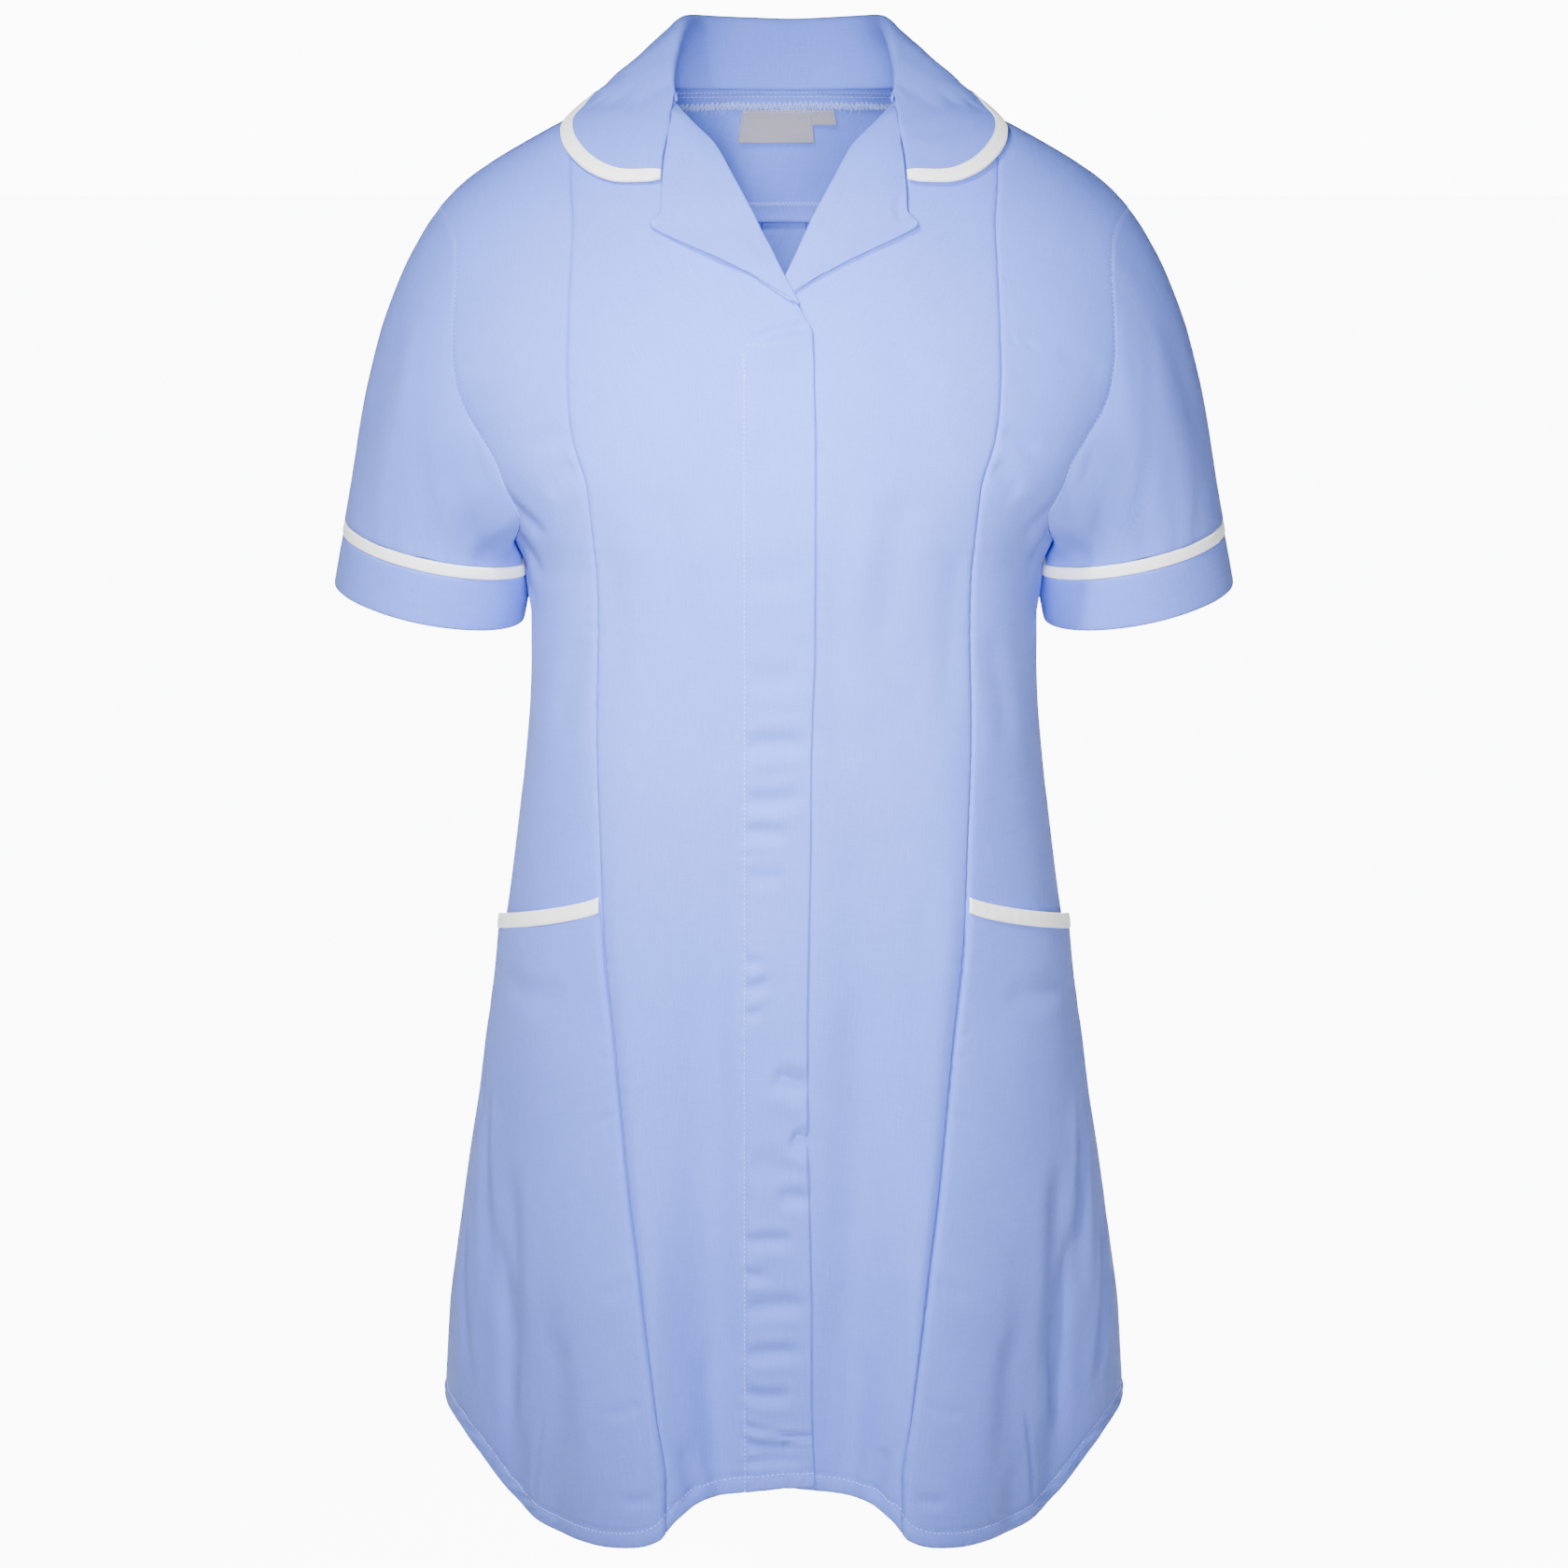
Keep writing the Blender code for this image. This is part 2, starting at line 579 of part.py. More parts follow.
def make_revers(collection, columns=6):
    """Each rever is its front's edge, folded out along the roll line and laid on the front."""
    share = np.array([0, 0.09, 0.18, 0.25, 0.32, 0.37, 0.42, 0.47, 0.53, 0.61, 0.7, 0.78, 0.85, 0.93, 1])
    roll_drop = REVER_START + (REVER_END - REVER_START) * share
    roll = read(ROLL_LINE, 1, roll_drop)
    across = np.linspace(0, 1, columns + 1)
    edge = read(REVER_EDGE, 2, share)
    angle = np.radians(roll[:, None] + (edge - roll)[:, None] * across)
    drop = roll_drop[:, None] + (read(REVER_EDGE, 1, share) - roll_drop)[:, None] * across
    puff = 1.4 * np.sin(math.pi * across) * ease(share * 4)[:, None] * ease((1 - share) * 3)[:, None]
    by_collar = 1.4 * across * (1 - ease((share - 0.3) / 0.3))[:, None]
    near_break = ease((drop - 80) / 25)
    for side, sign, rise in (("right", 1, 4.5), ("left", -1, 0.0)):
        height = FACED_CLOTH + 0.6 + puff + by_collar + rise * near_break
        outer = trimmed(raised(sign * angle, drop, height))
        inner = trimmed(raised(sign * angle, drop, height - FACED_CLOTH))
        make_wall("rever_" + side, outer, inner, BLUE_COTTON, collection)


def collar_profile(neck, fold, edge):
    """Points up the stand, over the fold and down the fall, from three curves of points."""
    along = unit(np.gradient(fold, axis=0))
    level = (edge - fold) * (1, 1, 0)
    outward = unit(level - along * np.sum(level * along, -1, keepdims=True))
    up = np.cross(along, outward)
    size = np.clip(np.linalg.norm(fold - neck, axis=-1, keepdims=True) / 12, 0.6, 1) * COLLAR_ROLL
    middle = fold + outward * size
    rows = [neck + (fold - neck) * share for share in (0, 0.5)]
    for turn in (0, 45, 90, 135):
        bend = math.radians(turn)
        rows.append(middle - outward * size * math.cos(bend) + up * size * math.sin(bend))
    start = rows[-1]
    for share in (0.15, 0.32, 0.5, 0.68, 0.84, 1):
        rows.append(start + (edge - start) * share + (0, 0, FALL_BULGE * share * (1 - share)))
    return np.stack(rows)


def collar_curves(stations):
    """Neck seam, top fold and outer edge of the whole collar, gorge to gorge."""
    table = np.array(COLLAR, float)
    place = np.arange(len(table))
    turned, *columns = [smooth(place, table[:, column], stations) for column in range(7)]
    neck = on_body(np.radians(turned), read(NECK_LINE, 1, turned))
    neck[:, 2] += 1.0
    half = np.concatenate((neck, np.stack(columns, -1)), axis=1)
    mirror = half[:0:-1] * (-1, 1, 1, -1, 1, 1, -1, 1, 1)
    whole = np.concatenate((mirror, half))
    return whole[:, :3], whole[:, 3:6], whole[:, 6:]


def grid_normal(grid, ring=False):
    """Normals of a grid of points, pointing to the right of its rows."""
    along = np.gradient(grid, axis=0)
    if ring:
        across = np.roll(grid, -1, axis=1) - np.roll(grid, 1, axis=1)
    else:
        across = np.gradient(grid, axis=1)
    return unit(np.cross(along, across))


def make_collar(collection):
    stations = np.array([0, 0.7, 1.4, 2, 2.5, 3, 3.5, 4, 4.5, 5, 5.5, 6, 6.6, 7.2, 8, 9, 10, 11])
    neck, fold, edge = collar_curves(stations)
    middle = collar_profile(neck, fold, edge)
    rows = len(FALL_HEIGHTS)
    middle[-rows:] = pushed_off(middle[-rows:], np.array(FALL_HEIGHTS)[:, None])
    share = np.linspace(0, 1, rows + 1)[1:]
    for end, sign in ((0, -1), (-1, 1)):
        angle, drop = np.radians(read(GORGE, 2, share)), read(GORGE, 1, share)
        middle[-rows:, end] = raised(sign * angle, drop, np.array(FALL_HEIGHTS))
    side = grid_normal(middle)
    reach = np.linalg.norm(middle[-1] - middle[-2], axis=-1, keepdims=True)
    cut = middle[-1] + (middle[-2] - middle[-1]) * np.minimum(COLLAR_BINDING_WIDTH / reach, 0.9)
    leaf = np.concatenate((middle[:-1], cut[None]))
    band = np.stack((cut, (cut + middle[-1]) / 2, middle[-1]))
    for name, grid, normal, thickness, colour in (
        ("collar", leaf, side, FACED_CLOTH, BLUE_COTTON),
        ("collar_binding", band, np.stack((side[-1],) * 3), BINDING, WHITE_BINDING),
    ):
        outer = trimmed(grid + normal * thickness / 2)
        inner = trimmed(grid - normal * thickness / 2)
        make_wall(name, outer, inner, colour, collection)


def armhole_ring():
    """Turns and points of the wearer's left armhole, by the front and back to the shoulder."""
    turns = row_turns()[::-1]
    drop = read(ARMHOLE, 1, turns)
    front = np.radians(read(ARMHOLE, 2, turns))
    back = np.radians(read(ARMHOLE, 3, turns))[-2:0:-1]
    turn = np.radians(np.concatenate((read(ARMHOLE, 4, turns), 360 - read(ARMHOLE, 5, turns)[-2:0:-1])))
    drop = np.concatenate((drop, drop[-2:0:-1]))
    return turn, on_body(np.concatenate((front, back)), drop)


def clear_of_side(points):
    """Keep sleeve points off the side of the body below the underarm."""
    angle = np.arctan2(points[..., 0], -points[..., 1])
    drop = np.maximum(-points[..., 2], UNDERARM_DROP)
    above = np.maximum(UNDERARM_DROP + points[..., 2], 0)
    least = body_radius(angle, drop) + SLEEVE_CLEARANCE - 1.5 * above
    radius = np.hypot(points[..., 0], points[..., 1])
    grow = np.maximum(least / radius, 1)
    return points * np.stack((grow, grow, np.ones_like(grow)), -1)


def sleeve_ends():
    """Turns round the sleeve, its armhole ring and its end ring at the binding's top."""
    turn, start = armhole_ring()
    frontward = np.cross(CUFF_OUTWARD, CUFF_AXIS)
    frontward = frontward * -np.sign(frontward[1])
    around = np.cos(turn)[:, None] * CUFF_OUTWARD + np.sin(turn)[:, None] * frontward
    hem = CUFF_CENTRE + CUFF_RADIUS * around
    return turn, start, hem - CUFF_AXIS * (CUFF_DEPTH + CUFF_BINDING_WIDTH)


def sleeve_rings():
    """Rings of points down the sleeve from the armhole to the binding."""
    turn, start, end = sleeve_ends()
    lean = 0.05 + 0.57 * (1 + np.cos(turn)) / 2
    leave = unit(np.stack((lean, -0.15 * np.sin(turn), -np.sqrt(1 - lean ** 2)), -1))
    from_under = np.abs(np.degrees(turn) - 180)
    straight = ease((115 - from_under) / 50)[:, None]
    leave = unit(leave * (1 - straight) + unit(end - start) * straight)
    reach = np.linalg.norm(end - start, axis=-1, keepdims=True)
    start = start + leave * SLEEVE_GAP + ease((50 - from_under) / 40)[:, None] * (SLEEVE_CLEARANCE, 0, 0)
    rings = []
    for t in np.linspace(0, 1, SLEEVE_ROWS + 1):
        ring = (
            (1 + 2 * t) * (1 - t) ** 2 * start
            + t * (1 - t) ** 2 * reach * leave
            + t * t * (3 - 2 * t) * end
            + t * t * (t - 1) * reach * CUFF_AXIS
        )
        rings.append(ring)
    return clear_of_side(np.stack(rings))


def make_tube(name, rings, inward, thickness, proud, colour, collection, sign):
    """A closed wall round a stack of rings, mirrored for the wearer's right."""
    outer = trimmed(rings - inward * proud, ring=True) * (sign, 1, 1)
    inner = trimmed(rings + inward * (thickness - proud), ring=True) * (sign, 1, 1)
    make_wall(name, outer, inner, colour, collection, ring=True)


def make_sleeves(collection):
    """Sleeve, binding and cuff are cut from one stack of rings, so their seams match."""
    end = sleeve_ends()[2]
    below = np.array((0.5, 1, 1 + CUFF_DEPTH / CUFF_BINDING_WIDTH / 2, 1 + CUFF_DEPTH / CUFF_BINDING_WIDTH))
    lower = clear_of_side(end + CUFF_AXIS * CUFF_BINDING_WIDTH * below[:, None, None])
    rings = np.concatenate((sleeve_rings(), lower))
    inward = grid_normal(rings, ring=True)
    inward = inward * np.sign(np.sum(inward * (rings.mean(axis=1, keepdims=True) - rings)))
    for _ in range(3):
        inward = unit(inward + np.roll(inward, 1, axis=1) + np.roll(inward, -1, axis=1))
    for name, first, last, thickness, proud, colour in (
        ("sleeve_", 0, SLEEVE_ROWS, CLOTH, 0, BLUE_COTTON),
        ("sleeve_binding_", SLEEVE_ROWS, SLEEVE_ROWS + 2, BINDING, 0.5, WHITE_BINDING),
        ("cuff_", SLEEVE_ROWS + 2, SLEEVE_ROWS + 4, CLOTH, 0, BLUE_COTTON),
    ):
        part = slice(first, last + 1)
        for side, sign in (("right", -1), ("left", 1)):
            make_tube(name + side, rings[part], inward[part], thickness, proud, colour, collection, sign)


def main():
    for old in list(bpy.data.objects):
        bpy.data.objects.remove(old)
    collection = bpy.data.collections.new("maternity_tunic")
    bpy.context.scene.collection.children.link(collection)
    make_fronts(collection)
    make_pockets(collection)
    make_back(collection)
    make_neck_label(collection)
    make_revers(collection)
    make_collar(collection)
    make_sleeves(collection)


main()
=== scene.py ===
import math

import bpy
import numpy as np
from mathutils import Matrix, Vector


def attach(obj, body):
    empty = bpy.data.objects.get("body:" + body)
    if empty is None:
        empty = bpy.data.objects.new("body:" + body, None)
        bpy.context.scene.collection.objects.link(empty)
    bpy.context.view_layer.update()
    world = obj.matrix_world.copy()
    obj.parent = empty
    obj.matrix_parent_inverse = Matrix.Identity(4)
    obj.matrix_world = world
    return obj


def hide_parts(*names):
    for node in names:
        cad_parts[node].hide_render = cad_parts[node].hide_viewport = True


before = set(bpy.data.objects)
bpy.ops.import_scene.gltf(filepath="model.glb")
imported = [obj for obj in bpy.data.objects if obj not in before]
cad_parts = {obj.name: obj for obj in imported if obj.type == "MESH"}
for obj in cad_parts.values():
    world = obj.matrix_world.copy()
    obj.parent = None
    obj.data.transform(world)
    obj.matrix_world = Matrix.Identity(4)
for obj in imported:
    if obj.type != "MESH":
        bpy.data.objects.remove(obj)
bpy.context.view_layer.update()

bl_info = {
    "name": "Maternity tunic",
    "version": (1, 0, 0),
    "blender": (4, 5, 0),
    "location": "View3D > Sidebar > Tunic",
    "description": "Cloth, binding, sewing and stage for a short-sleeved maternity tunic",
    "category": "Object",
}

# Lengths are millimetres and become metres in the meshes. The wearer faces -Y and +X is the
# wearer's left. A place on the body is an angle from the centre front and a drop from the neck
# point. The tables repeat the solids' own sizes, because this file reads only the frame.
MM = 0.001

# Horizontal sections of the body.
# drop, half width, front depth, back depth, front squareness, back squareness
SECTIONS = (
    (0, 66, 8, 58, 2.0, 2.0),
    (5, 80, 20, 63, 2.0, 2.0),
    (12, 99, 33, 67, 2.0, 2.0),
    (22, 121, 46, 72, 2.0, 2.0),
    (34.5, 144, 56, 77, 2.0, 2.0),
    (45, 161.3, 63.5, 81, 2.0, 2.1),
    (55.3, 176.3, 70, 85, 2.05, 2.1),
    (65.8, 188, 77, 89, 2.1, 2.2),
    (80, 201, 85, 94, 2.15, 2.2),
    (100, 213, 95.5, 99, 2.2, 2.3),
    (130, 218, 109, 103, 2.3, 2.3),
    (160, 213, 120, 105, 2.4, 2.3),
    (190, 200, 127, 105, 2.4, 2.3),
    (220, 180, 131, 102, 2.5, 2.3),
    (245, 159, 131.5, 99, 2.6, 2.4),
    (270, 146.5, 130, 96, 2.7, 2.4),
    (310, 143.2, 127, 95, 2.8, 2.4),
    (350, 143.9, 126, 96, 2.8, 2.4),
    (390, 147.9, 127, 99, 2.7, 2.4),
    (430, 153.2, 128, 104, 2.6, 2.3),
    (475, 159.2, 130, 109, 2.5, 2.3),
    (520, 164.0, 132, 114, 2.4, 2.3),
    (570, 171.3, 134, 119, 2.3, 2.2),
    (620, 179.3, 136, 124, 2.2, 2.2),
    (670, 186.8, 137, 129, 2.1, 2.2),
    (720, 193.0, 137, 133, 2.0, 2.1),
    (765, 195.6, 136, 136, 2.0, 2.1),
    (810, 197.0, 135, 138, 2.0, 2.1),
)

# starts, full from, fades by, angle at start, angle at hem, width inside, width outside, depth
FOLDS = (
    (500, 790, 1200, 30, 23.5, 6.5, 26, 33),
    (280, 430, 620, 39, 36, 8, 10, 4),
    (320, 520, 1200, 19, 15, 7, 7, -4),
    (560, 690, 1200, 66, 58, 5, 7, -5),
    (620, 730, 1200, 50, 47, 4, 6, -3),
    (330, 600, 1200, 122, 118, 9, 11, 7),
    (300, 520, 1200, 150, 146, 8, 8, -5),
    (330, 640, 1200, 166, 165, 7, 7, 4),
)
HEM_DROP = 800
HEM_BEND_DROP = 560

# angle, drop
HEM = (
    (0, 775), (12, 779), (18, 781), (21, 788), (23, 797), (28, 803), (37, 806), (46, 806),
    (54, 803), (61, 794), (69, 775), (76, 764), (83, 759), (90, 755), (105, 753), (125, 758),
    (150, 761), (180, 760),
)

# drop, angle
PRINCESS_SEAM = (
    (21, 90), (24, 83), (35, 75), (55, 66), (77, 59), (107, 53.6), (152, 48.5), (194, 45.8),
    (222, 43), (280, 43.5), (341, 44.2), (417, 42.3), (471, 40.9), (526, 38.3), (573, 35.5),
    (611, 32.7), (652, 29.3), (690, 26.7), (726, 24.4), (764, 22.5), (800, 22.3),
)

# turn, drop, front angle, back angle, front cuff turn, back cuff turn
ARMHOLE = (
    (0, 70.5, 90, 90, 0, 0),
    (15, 76, 82, 96, 14, 14),
    (30, 88, 75.8, 101, 28, 28),
    (50, 109, 71.8, 106, 43, 43),
    (70, 134, 69.2, 110, 57, 56),
    (90, 160, 67.5, 113, 70, 67),
    (105, 178, 66.5, 115, 80, 76),
    (120, 195, 64, 116.5, 91, 85),
    (135, 213, 61.8, 116.5, 102, 94),
    (150, 235, 61.8, 114.5, 113, 102),
    (158, 243.5, 63.8, 111.5, 122, 110),
    (165, 249.5, 67.5, 108, 132, 120),
    (170, 252.8, 72.5, 104, 143, 136),
    (174, 254.8, 78.5, 99.5, 155, 151),
    (177, 255.7, 84, 95, 167, 165),
    (180, 256, 90, 90, 180, 180),
)
UNDERARM_DROP = 256

# Front edge of the neck and roll line: drop, angle
ROLL_LINE = (
    (1.4, -90), (6, -77), (13.3, -64.6), (24.8, -48.7), (37.7, -33.6), (51.7, -23.7),
    (73.9, -11.8), (87.7, -6.7), (107.4, -0.4), (119.7, 3.5), (133, 7.4),
)
FRONT_EDGE_ANGLE = 7.2

# Front edge below the break, as it hangs: drop, distance past the centre
FRONT_EDGE = (
    (133, 15.2), (156, 15.9), (196, 16.8), (236, 16.8), (308, 16.5), (338, 15.5), (374, 14.6),
    (410, 14.5), (462, 13.5), (514, 12.7), (566, 12.6), (618, 13.6), (671, 14.7), (724, 14.9),
    (775, 16.9),
)

# turn round the armhole, drop at the front edge, drop at the princess seam
ROWS_ABOVE_ARM = (
    (0, 1.4, 21),
    (15, 9, 30),
    (30, 19, 43),
    (45, 31, 60),
    (60, 45, 80),
    (75, 60, 100),
    (90, 76, 122),
    (105, 94, 144),
    (120, 112, 166),
    (135, 133, 190),
    (150, 162, 216),
    (158, 184, 230),
    (165, 205, 241),
    (170, 224, 249),
    (174, 240, 255),
    (177, 255, 260),
    (180, 270, 265),
)
YOKE_TURN = 30
YOKE_DROP = 81
NECK_LINE = ((64.6, 13.3), (77, 6), (90, 1.4), (180, 3))

# share of the seam's length, drop, angle
GORGE = ((0, 13.3, 64.6), (0.33, 27, 54.7), (0.57, 37.5, 51), (0.82, 48.5, 47.7), (1, 55.8, 45.7))

# share of the roll line, drop, angle
REVER_EDGE = (
    (0.0, 15, -62.6), (0.1, 24, -56), (0.2, 37.5, -50.6), (0.32, 55.6, -45.3), (0.42, 73, -40.8),
    (0.47, 79.5, -43.4), (0.53, 86.5, -35.5), (0.70, 98, -20.5), (0.85, 107.5, -9.5),
    (1.0, 120.5, 3.0),
)
REVER_START = 15
REVER_END = 122

# neck angle, top fold x y z, outer edge x y z
COLLAR = (
    (180, 0, 60, 30, 0, 93, -20),
    (156, 26, 56, 31, 42, 88, -20),
    (130, 46, 41, 32, 80, 70, -20),
    (105, 53, 20, 32, 101, 36, -15),
    (90, 57, 2, 24, 108, 5, -12),
    (83, 59.5, -6, 14, 117, -11, -21),
    (77, 61, -13, 6.5, 122, -20, -31),
    (73, 61.5, -18, 1, 121, -29, -39),
    (70, 61.5, -22, -4, 114.5, -43, -48),
    (67.5, 61.2, -25, -6.2, 104.5, -55, -54),
    (66, 60.6, -27, -8.3, 90, -65, -56),
    (64.6, 60, -28.6, -9.3, 70.5, -67, -56),
)
FALL_HEIGHTS = (1.6, 2.3, 2.8, 3.0, 3.0, 3.0)

# Sewing lines
HEM_DEPTH = 8.5
PLACKET_LINE = -21.5     # across, of the line that holds the placket down
PLACKET_TOP = 142.8      # drop of that line's upper end
PLACKET_TURN = -8.8      # across, where the upper end stops
PLEAT_TACK = 12.6        # across, of the tacks beside the pleat

CUFF_CENTRE = np.array((202.0, 4.0, -294.0))
CUFF_RADIUS = 55.0
CUFF_AXIS = np.array((0.2, 0.14, -0.97)) / math.sqrt(0.2 ** 2 + 0.14 ** 2 + 0.97 ** 2)
CUFF_OUTWARD = np.array((0.98, 0.0, 0.202))
SLEEVE_CLEARANCE = 1.4


def bent(t, first, leaving, last, arriving):
    """A smooth way from a first value to a last one, with a slope at both ends."""
    return (
        (1 + 2 * t) * (1 - t) ** 2 * first + t * (1 - t) ** 2 * leaving
        + t * t * (3 - 2 * t) * last + t * t * (t - 1) * arriving
    )


def smooth(places, values, place):
    """Read a smooth curve through a table, with no overshoot between its rows."""
    places, values = np.asarray(places, float), np.asarray(values, float)
    place = np.clip(place, places[0], places[-1])
    gap = np.diff(places)
    slope = np.diff(values) / gap
    before, after = 2 * gap[1:] + gap[:-1], gap[1:] + 2 * gap[:-1]
    same_way = slope[:-1] * slope[1:] > 0
    first, second = np.where(same_way, slope[:-1], 1.0), np.where(same_way, slope[1:], 1.0)
    tangent = np.empty_like(values)
    tangent[0], tangent[-1] = slope[0], slope[-1]
    tangent[1:-1] = np.where(same_way, (before + after) / (before / first + after / second), 0.0)
    row = np.clip(np.searchsorted(places, place) - 1, 0, len(gap) - 1)
    t = (place - places[row]) / gap[row]
    leave, arrive = gap[row] * tangent[row], gap[row] * tangent[row + 1]
    return bent(t, values[row], leave, values[row + 1], arrive)


def read(table, column, place):
    """Read one column of a table at places of its first column."""
    rows = np.array(table, float)
    return smooth(rows[:, 0], rows[:, column], place)


def ease(t):
    """From 0 to 1 with a soft start and a soft end."""
    t = np.clip(t, 0, 1)
    return t * t * (3 - 2 * t)


def hump(distance, width):
    """A bell, 1 at no distance."""
    return np.exp(-((distance / width) ** 2))


def unit(vectors):
    return vectors / np.maximum(np.linalg.norm(vectors, axis=-1, keepdims=True), 1e-9)


def dot(first, second):
    return np.sum(first * second, -1)


def uneven(across, down, size, seed):
    """Smooth unevenness from -1 to 1, with bumps about one size apart."""
    tall, wide = 61, 67
    lattice = np.random.default_rng(seed).uniform(-1, 1, (tall, wide))
    places = (np.asarray(place, float) / size for place in (across, down))
    across, down = np.broadcast_arrays(*places)
    column, row = np.floor(across).astype(int), np.floor(down).astype(int)
    s, t = ease(across - column), ease(down - row)
    left, right = column % wide, (column + 1) % wide
    upper, lower = (
        lattice[line % tall, left] * (1 - s) + lattice[line % tall, right] * s
        for line in (row, row + 1)
    )
    return upper * (1 - t) + lower * t


def fold_rise(angle, drop):
    """The falls of the worn tunic, part of its body's shape."""
    rise = np.zeros(np.broadcast(angle, drop).shape)
    degrees = np.degrees(np.abs(angle))
    for start, full, end, angle_start, angle_hem, inside, outside, depth in FOLDS:
        along = np.clip((drop - start) / (min(end, HEM_DROP) - start), 0, 1)
        off = degrees - (angle_start + (angle_hem - angle_start) * along)
        width = np.where(off < 0, inside, outside)
        fade = ease((drop - start) / (full - start)) * ease((end - drop) / (end - full))
        rise = rise + depth * fade * hump(off, width)
    return rise


def body_radius(angle, drop):
    """Distance of the body's surface from its upright axis."""
    in_front = np.abs(angle) < math.pi / 2
    width = read(SECTIONS, 1, drop)
    depth = np.where(in_front, read(SECTIONS, 2, drop), read(SECTIONS, 3, drop))
    power = np.where(in_front, read(SECTIONS, 4, drop), read(SECTIONS, 5, drop))
    plain = (
        (np.abs(np.sin(angle)) / width) ** power + (np.abs(np.cos(angle)) / depth) ** power
    ) ** (-1 / power)
    return plain + fold_rise(angle, drop)


def on_body(angle, drop):
    """Places on the body's surface."""
    angle, drop = np.broadcast_arrays(np.asarray(angle, float), np.asarray(drop, float))
    radius = body_radius(angle, drop)
    return np.stack((radius * np.sin(angle), -radius * np.cos(angle), -drop), -1)


def body_normal(angle, drop, step_angle=0.004, step_drop=0.8):
    across = on_body(angle + step_angle, drop) - on_body(angle - step_angle, drop)
    upper = np.maximum(drop - step_drop, 0)
    down = on_body(angle, drop + step_drop) - on_body(angle, upper)
    return unit(np.cross(down, across))


def by_front(angle):
    """An angle past the centre back, counted the other way from the centre front."""
    return angle - 2 * math.pi * (angle > math.pi)


def raised(angle, drop, height):
    """Places a height off the body's surface."""
    height = np.broadcast_to(height, np.broadcast(angle, drop).shape)[..., None]
    return on_body(angle, drop) + body_normal(angle, drop) * height


def pushed_off(points, least):
    """Points moved out where they lie less than a least height off the body."""
    for _ in range(3):
        angle = np.arctan2(points[..., 0], -points[..., 1])
        drop = np.maximum(-points[..., 2], 0)
        outward = body_normal(angle, drop)
        height = dot(points - on_body(angle, drop), outward)
        under = (-points[..., 2] > 0) & (height < least)
        points = points + outward * np.where(under, least - height, 0)[..., None]
    return points


def mixed(first, last, count):
    """Values from a first column to a last one, in a count of steps."""
    share = np.linspace(0, 1, count + 1)
    return first[:, None] * (1 - share) + last[:, None] * share


# Small creases of the fronts, read off the photo. Each is a bent line from a start by a middle to
# an end, in degrees and drops; a depth above nothing goes in. Both sides have them.
# angle, drop, angle, drop, angle, drop, width, depth
SIDE_CREASES = (
    (49.5, 138.5, 54, 142.4, 57.6, 148.2, 0.8, 0.9),
    (57.6, 148.2, 62, 152, 66, 158, 5, 0.5),
    (47.3, 163.5, 48.4, 165.5, 49.6, 168.5, 1.3, 0.5),
    (48.6, 126, 51, 124, 54, 118, 3.0, 0.45),
    (48.9, 112, 52, 108, 56, 100, 4.0, 0.5),
    (50.5, 96, 54, 90, 58, 84, 4.5, 0.4),
    (47.0, 188, 50, 192, 54, 200, 4.0, 0.5),
    (45.4, 205, 48, 213, 51, 226, 5.0, 0.9),
    (64, 226, 60, 236, 55, 252, 4.5, 0.7),
    (70, 236, 66, 252, 61, 276, 5.0, 0.6),
    (84, 262, 76, 274, 66, 292, 6.0, 0.6),
    (86, 285, 78, 300, 68, 322, 7.0, 0.6),
    (47, 300, 52, 330, 55, 372, 8.0, 0.7),
)
POCKET_CREASES = (
    (75.3, 560, 71, 625, 67.0, 690, 4.5, 1.1),
    (68.5, 630, 62.0, 700, 61.6, 766, 5.0, 1.3),
    (62.5, 600, 60, 660, 58.4, 730, 6.5, 0.9),
    (50.6, 738, 52.4, 766, 53.6, 797, 1.3, 0.9),
    (80, 640, 76, 690, 71, 742, 3.6, 1.0),
    (46, 690, 44, 730, 42, 780, 7.0, 0.8),
    (84, 520, 80, 560, 77, 600, 5.0, 0.8),
    (70, 500, 60, 506, 50, 500, 7.0, 0.7),
    (38.5, 520, 40, 521, 42.2, 521, 1.6, 0.55),
    (37.8, 532, 39.5, 533.5, 41.4, 533, 1.6, 0.5),
    (36.2, 566, 38.6, 568, 41, 572, 2.4, 0.5),
    (30, 655, 33, 660, 37, 668, 3.5, 0.6),
    (26.8, 720, 30, 726, 34, 731, 3.0, 0.6),
    (24.2, 772, 27, 776, 30.5, 777, 3.0, 0.7),
)
FRONT_CREASES = (
    (30, 120, 31, 180, 33, 240, 11, 0.5),
    (27, 215, 25, 260, 23, 310, 9, 0.9),
    (40, 240, 38.5, 300, 39, 350, 6, 0.5),
    (14, 215, 13, 300, 14.5, 400, 8, 0.5),
    (39, 400, 33, 573, 24.5, 705, 7.5, -1.0),
    (20, 470, 19.5, 600, 17, 772, 14, 1.3),
    (17, 690, 16.2, 730, 15.6, 772, 5, 0.9),
    (20.6, 745, 19.4, 765, 18.6, 780, 2.6, 1.2),
)
